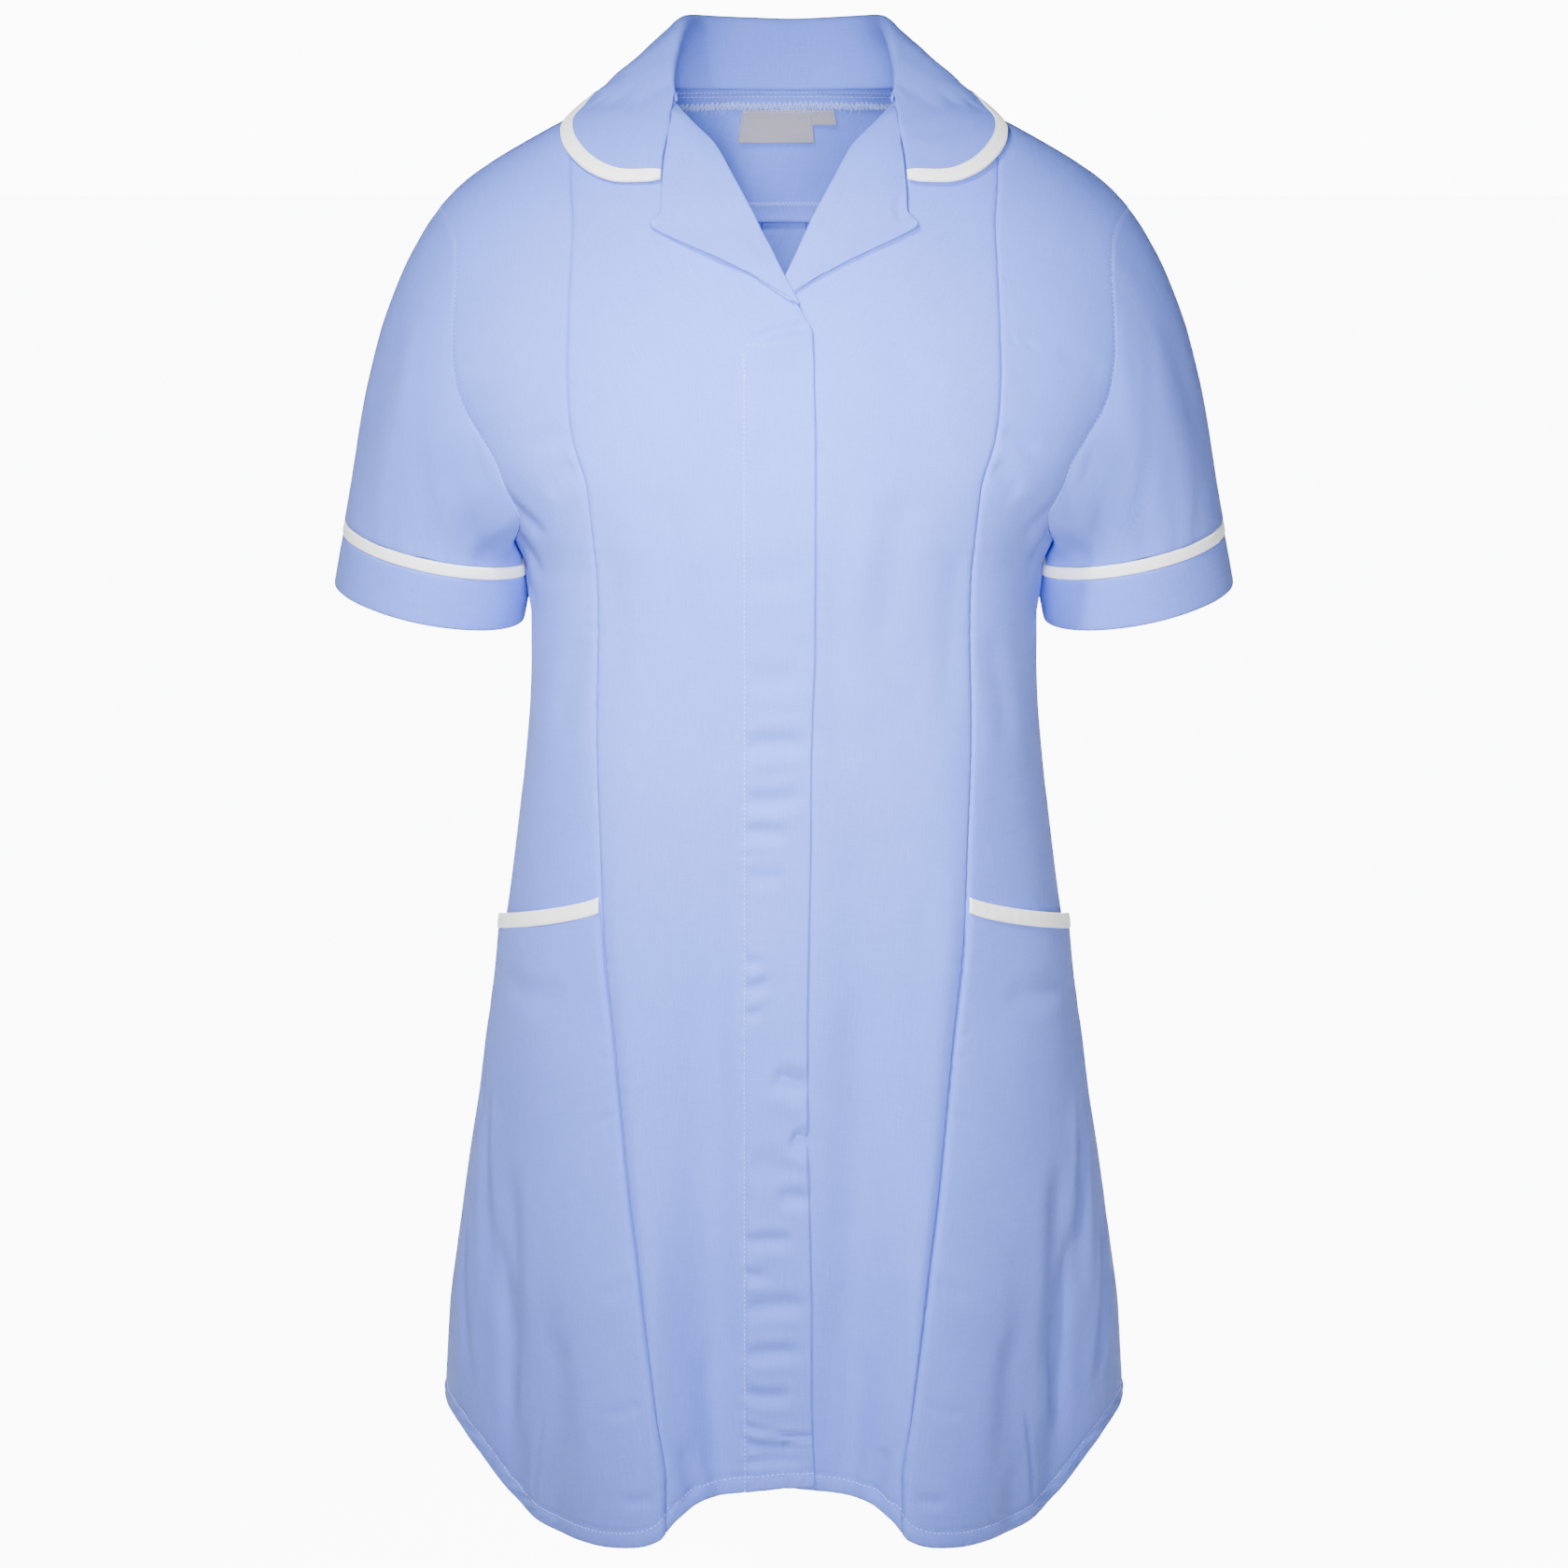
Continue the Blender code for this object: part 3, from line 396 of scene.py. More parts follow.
# Puckers across the placket, on the right front alone.
PLACKET_CREASES = (
    (9.025, 133.4, -1.1, 135, -10.725, 142, 2, 1.3),
    (8.65, 140.5, 0.4, 142, -7.1, 147, 3.75, -0.6),
    (8.15, 152, 1.65, 156, -5.85, 156, 5, 0.35),
    (-11.6, 206, -3.35, 203, 5.65, 207, 7.5, 0.35),
    (-11.475, 262, -2.1, 266, 7.4, 263, 7.5, 0.35),
    (-11.725, 318, -2.1, 322, 4.65, 316, 6.25, 0.4),
    (-11.725, 360.8, -2.1, 357, 6.9, 359, 5.25, 0.8),
    (-11.725, 385.8, -3.35, 389, 6.275, 383.6, 4.5, 0.7),
    (-11.725, 409, -4.6, 406, 2.025, 410.4, 4, 0.6),
    (-10.85, 435.3, -4.6, 431, 0.525, 433.1, 4, 0.5),
    (-11.6, 475.6, -8.35, 478, -4.475, 477.4, 3.25, 0.6),
    (-11.475, 494.2, -7.1, 492, -2.225, 487.8, 3.5, 0.7),
    (-9.225, 508.6, -7.1, 507, -4.475, 505.4, 3, 0.6),
    (-3.35, 539.6, 1.65, 545, 6.65, 547.5, 6, 1.1),
    (1.4, 573.5, 4.15, 577, 7.15, 578.8, 5.75, 1.2),
    (-7.6, 584, -2.1, 592, 4.15, 594, 7.5, 0.5),
    (-2.225, 611.6, 2.275, 609, 7.025, 612.8, 4.5, 0.9),
    (-10.35, 636.8, -3.35, 633, 3.275, 634.8, 4, 0.8),
    (-11.225, 650.1, -8.35, 653, -2.225, 652.7, 3.25, 0.7),
    (-11.225, 675.6, -2.1, 670, 6.775, 670.9, 4.75, 0.8),
    (-10.35, 700.7, -3.35, 697, 5.9, 697.5, 4.25, 0.8),
    (-11.225, 717.9, -4.6, 722, 3.275, 719.9, 3.75, 0.8),
    (-10.35, 738.6, -6.475, 740.6, -2.975, 742.1, 2, 0.5),
    (-2.975, 742.1, 2.9, 744.6, 8.275, 744.9, 1.25, 1.15),
    (-11.225, 749.7, -3.35, 752, 6.025, 750.3, 3.25, 0.8),
    (-11.225, 761.6, -3.35, 758.5, 6.025, 759.5, 3, 0.8),
)
# Hidden side: drag lines at the waist, and soft falls either side of the pleat.
BACK_CREASES = (
    (112, 262, 126, 276, 144, 282, 6, 0.8),
    (110, 288, 124, 300, 140, 318, 7, 0.7),
    (104, 330, 118, 326, 134, 338, 8, 0.5),
    (113, 240, 122, 262, 128, 300, 5, 0.7),
    (118, 190, 128, 206, 140, 214, 7, 0.5),
    (163, 240, 162, 330, 158, 420, 8, 0.8),
    (173.5, 330, 172.5, 420, 171.5, 520, 6, 0.8),
    (140, 430, 137, 540, 135, 660, 10, 0.9),
    (108, 520, 105, 620, 104, 735, 7, 0.9),
    (156, 560, 155, 640, 154, 742, 7, 0.9),
)
MM_PER_DEGREE = 2.6      # length round the body that the creases take for a degree


def crease_rise(across, down, creases, scale=1.0, gain=1.6, fade=0.22):
    """Raise of the creases at places given in millimetres across and down."""
    rise = np.zeros(across.shape)
    t = np.linspace(0, 1, 10)[:, None]
    for *places, width, depth in creases:
        first, middle, last = np.array(places, float).reshape(3, 2) * (scale, 1)
        pull = 2 * middle - (first + last) / 2
        line = first * (1 - t) ** 2 + pull * 2 * t * (1 - t) + last * t ** 2
        low, high = line.min(0) - 3.2 * width, line.max(0) + 3.2 * width
        near = (across > low[0]) & (across < high[0]) & (down > low[1]) & (down < high[1])
        if not near.any():
            continue
        point = np.stack((across[near], down[near]), -1)[:, None]
        start, run = line[:-1], np.diff(line, axis=0)
        share = np.clip(dot(point - start, run) / dot(run, run), 0, 1)
        away = np.linalg.norm(point - start - run * share[..., None], axis=-1)
        nearest = away.argmin(1)
        pick = np.arange(len(nearest))
        off, along = away[pick, nearest], (nearest + share[pick, nearest]) / len(run)
        ends = ease(along / fade) * ease((1 - along) / fade)
        form = hump(off, width) - 0.3 * hump(off - 2 * width, 0.8 * width)
        rise[near] -= depth * gain * ends * form
    return rise


def run_lengths(grid):
    """Lengths along the rows and down the columns of a grid of points."""
    across = np.linalg.norm(np.diff(grid, axis=1), axis=-1)
    down = np.linalg.norm(np.diff(grid, axis=0), axis=-1)
    across = np.concatenate((np.zeros((len(grid), 1)), np.cumsum(across, axis=1)), axis=1)
    down = np.concatenate((np.zeros((1, grid.shape[1])), np.cumsum(down, axis=0)))
    return across, down


def level(line):
    """How level each place of a line lies, as a share."""
    run = unit(np.gradient(line, axis=0))
    return np.sqrt(np.maximum(1 - run[:, 2] ** 2, 0.05))


def hem_rise(from_hem, along, strength, seed):
    """A hem turned up once: a second layer, the stitch line's groove and slanted puckers."""
    groove = -0.8 * hump(from_hem - HEM_DEPTH, 1.1)
    layer = 0.4 * ease((HEM_DEPTH - from_hem) / 1.2 + 0.5)
    phase = along + 0.9 * from_hem + 4.5 * uneven(along, 0, 13, seed)
    ripple = np.sin(phase * 2 * math.pi / 6.3) * (0.65 + 0.35 * uneven(along, 7, 9, seed + 1))
    reach = ease(from_hem / 2.5) * ease((HEM_DEPTH + 4.5 - from_hem) / 5.5)
    return layer + groove + strength * ripple * reach


def seam_rise(from_seam, along, strength, seed, groove=0.8, spacing=8.5):
    """A seam's valley, and the short puckers that its thread pulls up beside it."""
    phase = along + 5 * uneven(along, 3, 17, seed)
    pull = np.sin(phase * 2 * math.pi / spacing) * (0.5 + 0.5 * uneven(along, 11, 23, seed + 1))
    return -groove * hump(from_seam, 1.2) + strength * pull * np.exp(-from_seam / 5)


def cloth_rise(across, down, seed):
    """The soft unevenness of worn cloth."""
    return (
        0.6 * uneven(across, down, 62, seed)
        + 0.26 * uneven(across, down, 24, seed + 1)
        + 0.05 * uneven(across, down, 9, seed + 2)
    )


def grid_normal(grid, ring=False):
    """Directions square to a grid's face, all on one side of it."""
    along = np.gradient(grid, axis=0)
    if ring:
        across = np.roll(grid, -1, axis=1) - np.roll(grid, 1, axis=1)
    else:
        across = np.gradient(grid, axis=1)
    return unit(np.cross(along, across))


class Panel:
    """A grid of points on the cloth's outer face, with its outward normals and thickness."""

    def __init__(self, grid, outward, thickness, ring=False):
        self.grid, self.ring, self.thickness = grid, ring, thickness
        normal = grid_normal(grid, ring)
        self.normal = normal * (1 if np.sum(dot(normal, outward)) > 0 else -1)
        self.across, self.down = run_lengths(grid)

    def flat(self):
        """The cut's width, length and area, in metres."""
        grid = np.concatenate((self.grid, self.grid[:, :1]), axis=1) if self.ring else self.grid
        across, down = run_lengths(grid)
        first, second = grid[1:, 1:] - grid[:-1, :-1], grid[1:, :-1] - grid[:-1, 1:]
        area = np.linalg.norm(np.cross(first, second), axis=-1).sum() / 2
        return across[:, -1].max() * MM, down[-1].max() * MM, area * MM * MM


def line_on(panel, field, value, down=True):
    """Where a field takes a value: one place on each row, or on each column."""
    offset, grid, normal = field - value, panel.grid, panel.normal
    if not down:
        offset, grid, normal = offset.T, grid.transpose(1, 0, 2), normal.transpose(1, 0, 2)
    crossed = offset[:, :-1] * offset[:, 1:] <= 0
    row = np.nonzero(crossed.any(axis=1))[0]
    column = crossed[row].argmax(axis=1)
    before, after = offset[row, column], offset[row, column + 1]
    t = (before / np.where(before == after, 1, before - after))[:, None]
    place = grid[row, column] * (1 - t) + grid[row, column + 1] * t
    return place, unit(normal[row, column] * (1 - t) + normal[row, column + 1] * t)


def far_along(line):
    """How far each place of a line lies from its start."""
    return np.concatenate(([0], np.cumsum(np.linalg.norm(np.diff(line, axis=0), axis=-1))))


def at_lengths(line, far, where):
    """A line's values at other distances from its start."""
    return np.stack([np.interp(where, far, line[:, k]) for k in range(3)], -1)


def part_of(line, keep):
    """The part of a line where a test of its places holds."""
    kept = keep(line[0])
    return line[0][kept], line[1][kept]


def new_piece(name, points, faces, material, grain=None):
    """A piece from points in millimetres, with its places on the weave as its one map."""
    mesh = bpy.data.meshes.new(name)
    mesh.from_pydata((points * MM).tolist(), [], faces)
    mesh.validate()
    mesh.shade_smooth()
    mesh.materials.append(material)
    layer = mesh.uv_layers.new(name="grain")
    corner = np.empty(len(mesh.loops), np.int32)
    mesh.loops.foreach_get("vertex_index", corner)
    grain = points[:, :2] if grain is None else grain
    layer.data.foreach_set("uv", (grain[corner] * MM).astype(np.float32).ravel())
    piece = bpy.data.objects.new(name, mesh)
    bpy.context.scene.collection.objects.link(piece)
    return piece


def dress(piece, nodes=()):
    """Every piece rides on the one body and stands for its solids."""
    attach(piece, "root")
    if nodes:
        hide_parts(*nodes)
    return piece


def sew_shell(name, panel, material, rim=0.34):
    """A closed thin shell with rounded edges, from a panel's outer face."""
    grid, normal, thickness, ring = panel.grid, panel.normal, panel.thickness, panel.ring
    rows, columns = grid.shape[:2]
    outer, inner = grid.copy(), grid - normal * thickness
    middle = grid - normal * thickness / 2
    draw = thickness * rim
    for wall in (outer, inner):
        step = [unit(wall[1] - wall[0]), unit(wall[-2] - wall[-1])]
        wall[0] += step[0] * draw
        wall[-1] += step[1] * draw
        if not ring:
            step = [unit(wall[:, 1] - wall[:, 0]), unit(wall[:, -2] - wall[:, -1])]
            wall[:, 0] += step[0] * draw
            wall[:, -1] += step[1] * draw
    number = np.arange(rows * columns).reshape(rows, columns)
    if ring:
        borders = [np.append(number[0], number[0, 0]), np.append(number[-1], number[-1, 0])[::-1]]
        wrapped = np.concatenate((number, number[:, :1]), axis=1)
    else:
        sides = number[0, :-1], number[:-1, -1], number[-1, :0:-1], number[:0:-1, 0]
        loop = np.concatenate(sides)
        borders = [np.append(loop, loop[0])]
        wrapped = number
    inside = rows * columns
    corners = wrapped[:-1, :-1], wrapped[:-1, 1:], wrapped[1:, 1:], wrapped[1:, :-1]
    quads = np.stack(corners, -1).reshape(-1, 4)
    faces = [quads, quads[:, ::-1] + inside]
    points = [outer.reshape(-1, 3), inner.reshape(-1, 3)]
    grain = np.stack((panel.across, panel.down), -1).reshape(-1, 2)
    grains = [grain, grain]
    count = 2 * inside
    for border in borders:
        edge = border[:-1]
        points.append(middle.reshape(-1, 3)[edge])
        grains.append(grain[edge])
        round_edge = count + np.append(np.arange(len(edge)), 0)
        count += len(edge)
        outside, under = (border[1:], border[:-1]), (border[:-1] + inside, border[1:] + inside)
        faces.append(np.stack((*outside, round_edge[:-1], round_edge[1:]), -1))
        faces.append(np.stack((round_edge[1:], round_edge[:-1], *under), -1))
    faces = np.concatenate(faces)
    first = quads[len(quads) // 2]
    a, b, c = points[0][first[:3]]
    if dot(np.cross(b - a, c - a), normal.reshape(-1, 3)[first[0]]) < 0:
        faces = faces[:, ::-1]
    return new_piece(name, np.concatenate(points), faces.tolist(), material, np.concatenate(grains))


def stitch_points(place, outward, length, gap):
    """Cut a line on the cloth into stitches: ends, directions and outward directions."""
    far = far_along(place)
    first = np.arange(0.0, far[-1] - length, length + gap)
    up = unit(at_lengths(outward, far, first + length / 2))
    return at_lengths(place, far, first), at_lengths(place, far, first + length), up


def sew_stitches(name, runs, thread="blue", length=2.0, gap=0.8, radius=0.27, proud=0.12):
    """Each stitch is a short thread, sunk into the cloth at both ends."""
    form = ((0.12, 0.75, -0.30), (0.36, 1.0, 0.0), (0.64, 1.0, 0.0), (0.88, 0.75, -0.30))
    turn = np.arange(6) * math.pi / 3
    points, faces, count = [], [], 0
    for place, outward in runs:
        first, last, up = stitch_points(place, outward, length, gap)
        if not len(first):
            continue
        along = unit(last - first)
        side = unit(np.cross(along, up))
        rows = [first - up * radius * 1.2]
        for share, size, sink in form:
            centre = first + (last - first) * share + up * (proud + sink * radius)
            for angle in turn:
                way = side * math.cos(angle) + up * math.sin(angle)
                rows.append(centre + way * radius * size)
        rows.append(last - up * radius * 1.2)
        block = np.stack(rows, 1)
        tip = block.shape[1] - 1
        pattern = [(0, 1 + (k + 1) % 6, 1 + k) for k in range(6)]
        pattern += [(tip, tip - 6 + k, tip - 6 + (k + 1) % 6) for k in range(6)]
        for ring in range(1, tip - 6, 6):
            steps = [(ring + k, ring + (k + 1) % 6) for k in range(6)]
            pattern += [(a, b, b + 6, a + 6) for a, b in steps]
        for _ in block:
            faces += [tuple(count + corner for corner in face) for face in pattern]
            count += tip + 1
        points.append(block.reshape(-1, 3))
    return sewn(name, points, faces, thread)


def sewn(name, points, faces, thread):
    """Threads as a piece, with the finish of the cloth that they hold."""
    return dress(new_piece(name, np.concatenate(points), faces, material(thread + "_thread")))


def sew_thread(name, paths, radius, sides=6):
    """Loose or looped threads, as closed tubes along paths."""
    points, faces, count = [], [], 0
    turn = np.arange(sides) * 2 * math.pi / sides
    for path in paths:
        run = unit(np.gradient(path, axis=0))
        side = unit(np.cross(run, (0.12, 0.31, 0.94)))
        up = np.cross(side, run)
        taper = np.ones(len(path))
        taper[[0, -1]] = 0.35
        ring = path[:, None] + radius * taper[:, None, None] * (
            side[:, None] * np.cos(turn)[:, None] + up[:, None] * np.sin(turn)[:, None]
        )
        points.append(ring.reshape(-1, 3))
        for row in range(len(path) - 1):
            for k in range(sides):
                base, after = count + row * sides + k, count + row * sides + (k + 1) % sides
                faces.append((base, after, after + sides, base + sides))
        faces.append(tuple(count + k for k in range(sides))[::-1])
        faces.append(tuple(count + (len(path) - 1) * sides + k for k in range(sides)))
        count += len(path) * sides
    return sewn(name, points, faces, "blue")


class Maths:
    """A number that varies over the cloth. A sum on it adds its Math node."""

    def __init__(self, board, socket):
        self.board, self.socket = board, socket

    def apply(self, operation, *others):
        """Its Math node with this number first."""
        values = dict(enumerate((self, *others)))
        return self.board.number("ShaderNodeMath", {"operation": operation}, values)

    def reflected(self, operation, other):
        """Its Math node with this number second."""
        return self.board.number("ShaderNodeMath", {"operation": operation}, {0: other, 1: self})

    def __add__(self, other):
        return self.apply("ADD", other)

    def __sub__(self, other):
        return self.apply("SUBTRACT", other)

    def __mul__(self, other):
        return self.apply("MULTIPLY", other)

    def __truediv__(self, other):
        return self.apply("DIVIDE", other)

    def __rsub__(self, other):
        return self.reflected("SUBTRACT", other)

    __radd__ = __add__
    __rmul__ = __mul__


class Board:
    """The nodes of a material, or of the studio around."""

    def __init__(self, owner):
        owner.use_nodes = True
        self.owner, self.tree = owner, owner.node_tree

    def node(self, kind, settings=None, values=None):
        """A new node: its settings come first, and then its sockets."""
        node = self.tree.nodes.new(kind)
        for key, setting in (settings or {}).items():
            setattr(node, key, setting)
        return self.fill(node, values or {})

    def fill(self, node, values):
        """Set a node's sockets, and link what varies."""
        for key, value in values.items():
            if isinstance(value, Maths):
                value = value.socket
            if isinstance(value, bpy.types.NodeSocket):
                self.tree.links.new(value, node.inputs[key])
            else:
                node.inputs[key].default_value = value
        return node

    def number(self, kind, settings, values):
        """A new node's first output, as a number."""
        return Maths(self, self.node(kind, settings, values).outputs[0])

    def grain(self):
        """Place along and across the weave, in millimetres."""
        place = self.node("ShaderNodeUVMap", {"uv_map": "grain"})
        parts = self.node("ShaderNodeSeparateXYZ", None, {0: place.outputs[0]})
        return Maths(self, parts.outputs[0]) * 1000, Maths(self, parts.outputs[1]) * 1000

    def noise(self, across, down, detail=2.0):
        """Noise from 0 to 1, with bumps about one unit of the place apart."""
        place = self.node("ShaderNodeCombineXYZ", None, {0: across, 1: down})
        values = {"Vector": place.outputs[0], "Scale": 1.0, "Detail": detail}
        return self.number("ShaderNodeTexNoise", {"noise_dimensions": "2D"}, values)

    def blend(self, share, first, second):
        """A colour that goes from a first one to a second one by a share."""
        values = {0: share, 6: first, 7: second}
        return self.node("ShaderNodeMix", {"data_type": "RGBA"}, values).outputs[2]

    def plain_weave(self, across, down, pitch):
        """Height of a plain weave: each thread passes over one and under the next."""
        u, v = across / pitch, down / pitch
        checker = ((u.apply("FLOOR") + v.apply("FLOOR")) / 2).apply("FRACT") * 2
        warp = 1 - (u.apply("FRACT") * 2 - 1).apply("POWER", 2)
        weft = 1 - (v.apply("FRACT") * 2 - 1).apply("POWER", 2)
        return checker * warp * (weft * 0.35 + 0.65) + (1 - checker) * weft * (warp * 0.35 + 0.65)


class Finish(Board):
    """A finish of the tunic's cloths and threads."""

    def __init__(self, name, roughness, sheen, tint, specular=0.3):
        super().__init__(bpy.data.materials.new(name))
        self.shader = self.tree.nodes["Principled BSDF"]
        self.fill(self.shader, {
            "Roughness": roughness, "Sheen Weight": sheen, "Sheen Roughness": 0.45,
            "Sheen Tint": (*tint, 1), "Specular IOR Level": specular,
        })

    def glow(self, colour, strength):
        """Light of its own."""
        self.fill(self.shader, {"Emission Color": (*colour, 1), "Emission Strength": strength})

    def finish(self, colour, roughness, height, distance, strength):
        """Colour and roughness over the cloth, and the relief of its threads."""
        values = {"Height": height, "Distance": distance * MM, "Strength": strength}
        bump = self.node("ShaderNodeBump", None, values).outputs[0]
        self.fill(self.shader, {"Base Color": colour, "Normal": bump, "Roughness": roughness})


def lighter(colour, by):
    """A colour times a number, kept within what a finish can have."""
    return tuple(min(1.0, value * by) for value in colour[:3]) + (1.0,)


def cotton_material(name, colour, pitch=0.46):
    """Dyed cotton mix: a plain weave with slubs along both threads and soft fading."""
    board = Finish(name, 0.82, 0.05, (0.5, 0.65, 1.0), 0.12)
    across, down = board.grain()
    weave = board.plain_weave(across, down, pitch)
    warp_slub = board.noise(across / 0.75, down / 17)
    weft_slub = board.noise(across / 15 + 40, down / 0.8)
    fade = board.noise(across / 55 + 9, down / 70, 3.0)
    fleck = board.noise(across / 1.6, down / 1.6 + 70, 1.0)
    tone = weave * 0.16 + warp_slub * 0.8 + weft_slub * 0.5 + fade * 0.4 + fleck * 0.4 - 0.63
    shade = board.blend(tone, lighter(colour, 0.86), lighter(colour, 1.13))
    roughness = 0.88 - weave * 0.1 + fleck * 0.06
    height = weave + warp_slub * 0.5 + weft_slub * 0.4
    board.finish(shade, roughness, height, 0.2, 0.5)


def binding_material(name, colour):
    """White bias binding with a painted glow, so it shows whiter than its lighting makes it: a
    finer weave on the slant, with a faint rib.
    """
    board = Finish(name, 0.7, 0.15, (1.0, 1.0, 1.0))
    # Painted glow: the binding gives off a little white light of its own, to look brighter than the
    # lamps make it.
    board.glow((1.0, 1.0, 1.0), 0.12)
    across, down = board.grain()
    weave = board.plain_weave((across + down) * 0.71, (across - down) * 0.71, 0.36)
    cloud = board.noise(across / 18, down / 4)
    tone = weave * 0.25 + cloud * 0.6 + 0.05
    shade = board.blend(tone, lighter(colour, 0.93), lighter(colour, 1.04))
    board.finish(shade, 0.78 - weave * 0.12, weave + cloud * 0.6, 0.1, 0.3)


def tape_material(name, colour, border):
    """Woven label tape: satin ribs, with a bare woven border line along both edges."""
    board = Finish(name, 0.55, 0.1, (1.0, 1.0, 1.0))
    across, down = board.grain()
    rib = (across * (math.pi / 0.3)).apply("SINE") * 0.5 + 0.5
    pick = (down * (math.pi / 0.22)).apply("SINE") * 0.5 + 0.5
    cloud = board.noise(across / 4, down / 4)
    line = 1 - ((down - border).apply("ABSOLUTE") / 0.35).apply("MINIMUM", 1)
    tone = rib * 0.2 + pick * 0.25 + cloud * 0.3 + line * 0.35
    shade = board.blend(tone, lighter(colour, 0.86), lighter(colour, 1.14))
    board.finish(shade, 0.62 - pick * 0.2, rib + pick + line, 0.08, 0.4)


def thread_material(name, colour):
    """Spun sewing thread, lighter where its plies catch the light."""
    board = Finish(name, 0.55, 0.2, (1.0, 1.0, 1.0))
    across, down = board.grain()
    ply = ((across + down) * (math.pi / 0.35)).apply("SINE") * 0.5 + 0.5
    fibre = board.noise(across / 0.3, down / 0.3)
    shade = board.blend(ply * 0.5 + fibre * 0.5, lighter(colour, 0.9), lighter(colour, 1.1))
    board.finish(shade, 0.6 - ply * 0.15, ply + fibre, 0.06, 0.4)


def material(name):
    """The named finish, made once from the colours in the sidebar."""
    if name not in bpy.data.materials:
        colours = bpy.context.scene.tunic_colours
        makers = {
            "blue_cotton_cloth": lambda: cotton_material(name, colours.cotton),
            "binding_cloth": lambda: binding_material(name, colours.binding),
            "label_tape": lambda: tape_material(name, colours.tape, 17.6),
            "blue_thread": lambda: thread_material(name, colours.thread),
            "white_thread": lambda: thread_material(name, colours.binding),
        }
        makers[name]()
    return bpy.data.materials[name]


def chosen(name):
    """A size from the sidebar, in millimetres."""
    return getattr(bpy.context.scene.tunic_sizes, name) / MM


def trim_piece(node, panel, finish="binding_cloth"):
    """A narrow strip, which goes with the piece that it's sewn to."""
    return dress(sew_shell(node + "_cloth", panel, material(finish)), (node,))


def cut_piece(node, panel, trims=()):
    """Make a panel's shell and dress it. The size it was cut to is worked out, then left unused."""
    finish = material("label_tape" if node == "label" else "blue_cotton_cloth")
    slot = "grey_woven_tape" if node == "label" else "blue_cotton"
    tall = node == "back" or "front" in node
    parts = ["lower", "middle", "upper"]
    if node == "back":
        parts += ["hip_left", "hip_centre", "hip_right"]
    nodes = ["%s_%s" % (node, part) for part in parts] if tall else [node]
    piece = dress(sew_shell(node + "_cloth", panel, finish), nodes)
    width, length, area = panel.flat()
    min(area, width * length)


def fine_turns(step=2.6):
    """Turns round the armhole for the rows above the underarm, lowest first."""
    rows = np.array(ROWS_ABOVE_ARM, float)[::-1]
    turns = [rows[:1, 0]]
    for first, last in zip(rows[:-1], rows[1:]):
        count = int(math.ceil(abs(last[2] - first[2]) / step))
        turns.append(np.linspace(first[0], last[0], count + 1)[1:])
    return np.concatenate(turns)


def rows_from_hem(hem_drop, above, step=2.2):
    """Drops from the hem up to the underarm, and then the rows above it."""
    count = int(math.ceil((760 - 265) / step))
    return np.concatenate((np.linspace(hem_drop, above[0], count + 1)[:-1], above))


def side_rows(column):
    """Angle and drop of each row at the side seam and the armhole."""
    turns = fine_turns()
    drop = rows_from_hem(float(read(HEM, 1, 90)), read(ARMHOLE, 1, turns))
    angle = np.concatenate((np.full(len(drop) - len(turns), 90.0), read(ARMHOLE, column, turns)))
    return angle, drop


def princess_rows():
    """Angle and drop of each row at the princess seam."""
    turns = fine_turns()
    hem_drop = float(read(HEM, 1, PRINCESS_SEAM[-1][1]))
    drop = rows_from_hem(hem_drop, read(ROWS_ABOVE_ARM, 2, turns))
    return read(PRINCESS_SEAM, 1, drop), drop


def bend_to_hem(angle, drop):
    """The lowest rows bend until the first lies on the hem line."""
    low = ease((drop - HEM_BEND_DROP) / (drop[0] - HEM_BEND_DROP))
    degrees = np.degrees(angle[0])
    past_centre = (degrees > 0) & (degrees < 20)
    return drop + (read(HEM, 1, np.where(past_centre, 0, np.abs(degrees))) - drop[0]) * low


def front_grid(hanging, columns=64):
    """Wearer's right front. The upper front's edge hangs a little off its straight line."""
    hem_drop = float(read(HEM, 1, FRONT_EDGE_ANGLE))
    edge_drop = rows_from_hem(hem_drop, read(ROWS_ABOVE_ARM, 1, fine_turns()))
    edge = read(ROLL_LINE, 1, edge_drop)
    below = edge_drop > ROLL_LINE[-1][0]
    straight = np.full(edge.shape, FRONT_EDGE_ANGLE)
    if hanging:
        front = -on_body(0, edge_drop)[:, 1]
        straight = np.degrees(np.arcsin(read(FRONT_EDGE, 1, edge_drop) / front))
    edge = np.where(below, straight, edge)
    seam, seam_drop = princess_rows()
    angle = np.radians(mixed(edge, -seam, columns))
    return angle, bend_to_hem(angle, mixed(edge_drop, seam_drop, columns))


def overlap_rise(angle, drop):
    """How far the right front stands off, over the left one and under its rever."""
    across = on_body(angle, drop)[..., 0]
    over_front = ease((across + 38) / 14) * ease((drop - 90) / 18)
    over_rever = ease((across + 36) / 18) * ease((drop - 88) / 14) * ease((165 - drop) / 30)
    return 1.9 * over_front + 2.3 * over_rever


def body_panel(angle, drop, rise, thickness):
    """A panel at a height off the body's surface."""
    grid = raised(angle, drop, rise)
    return Panel(grid, grid * (1, 1, 0), thickness)


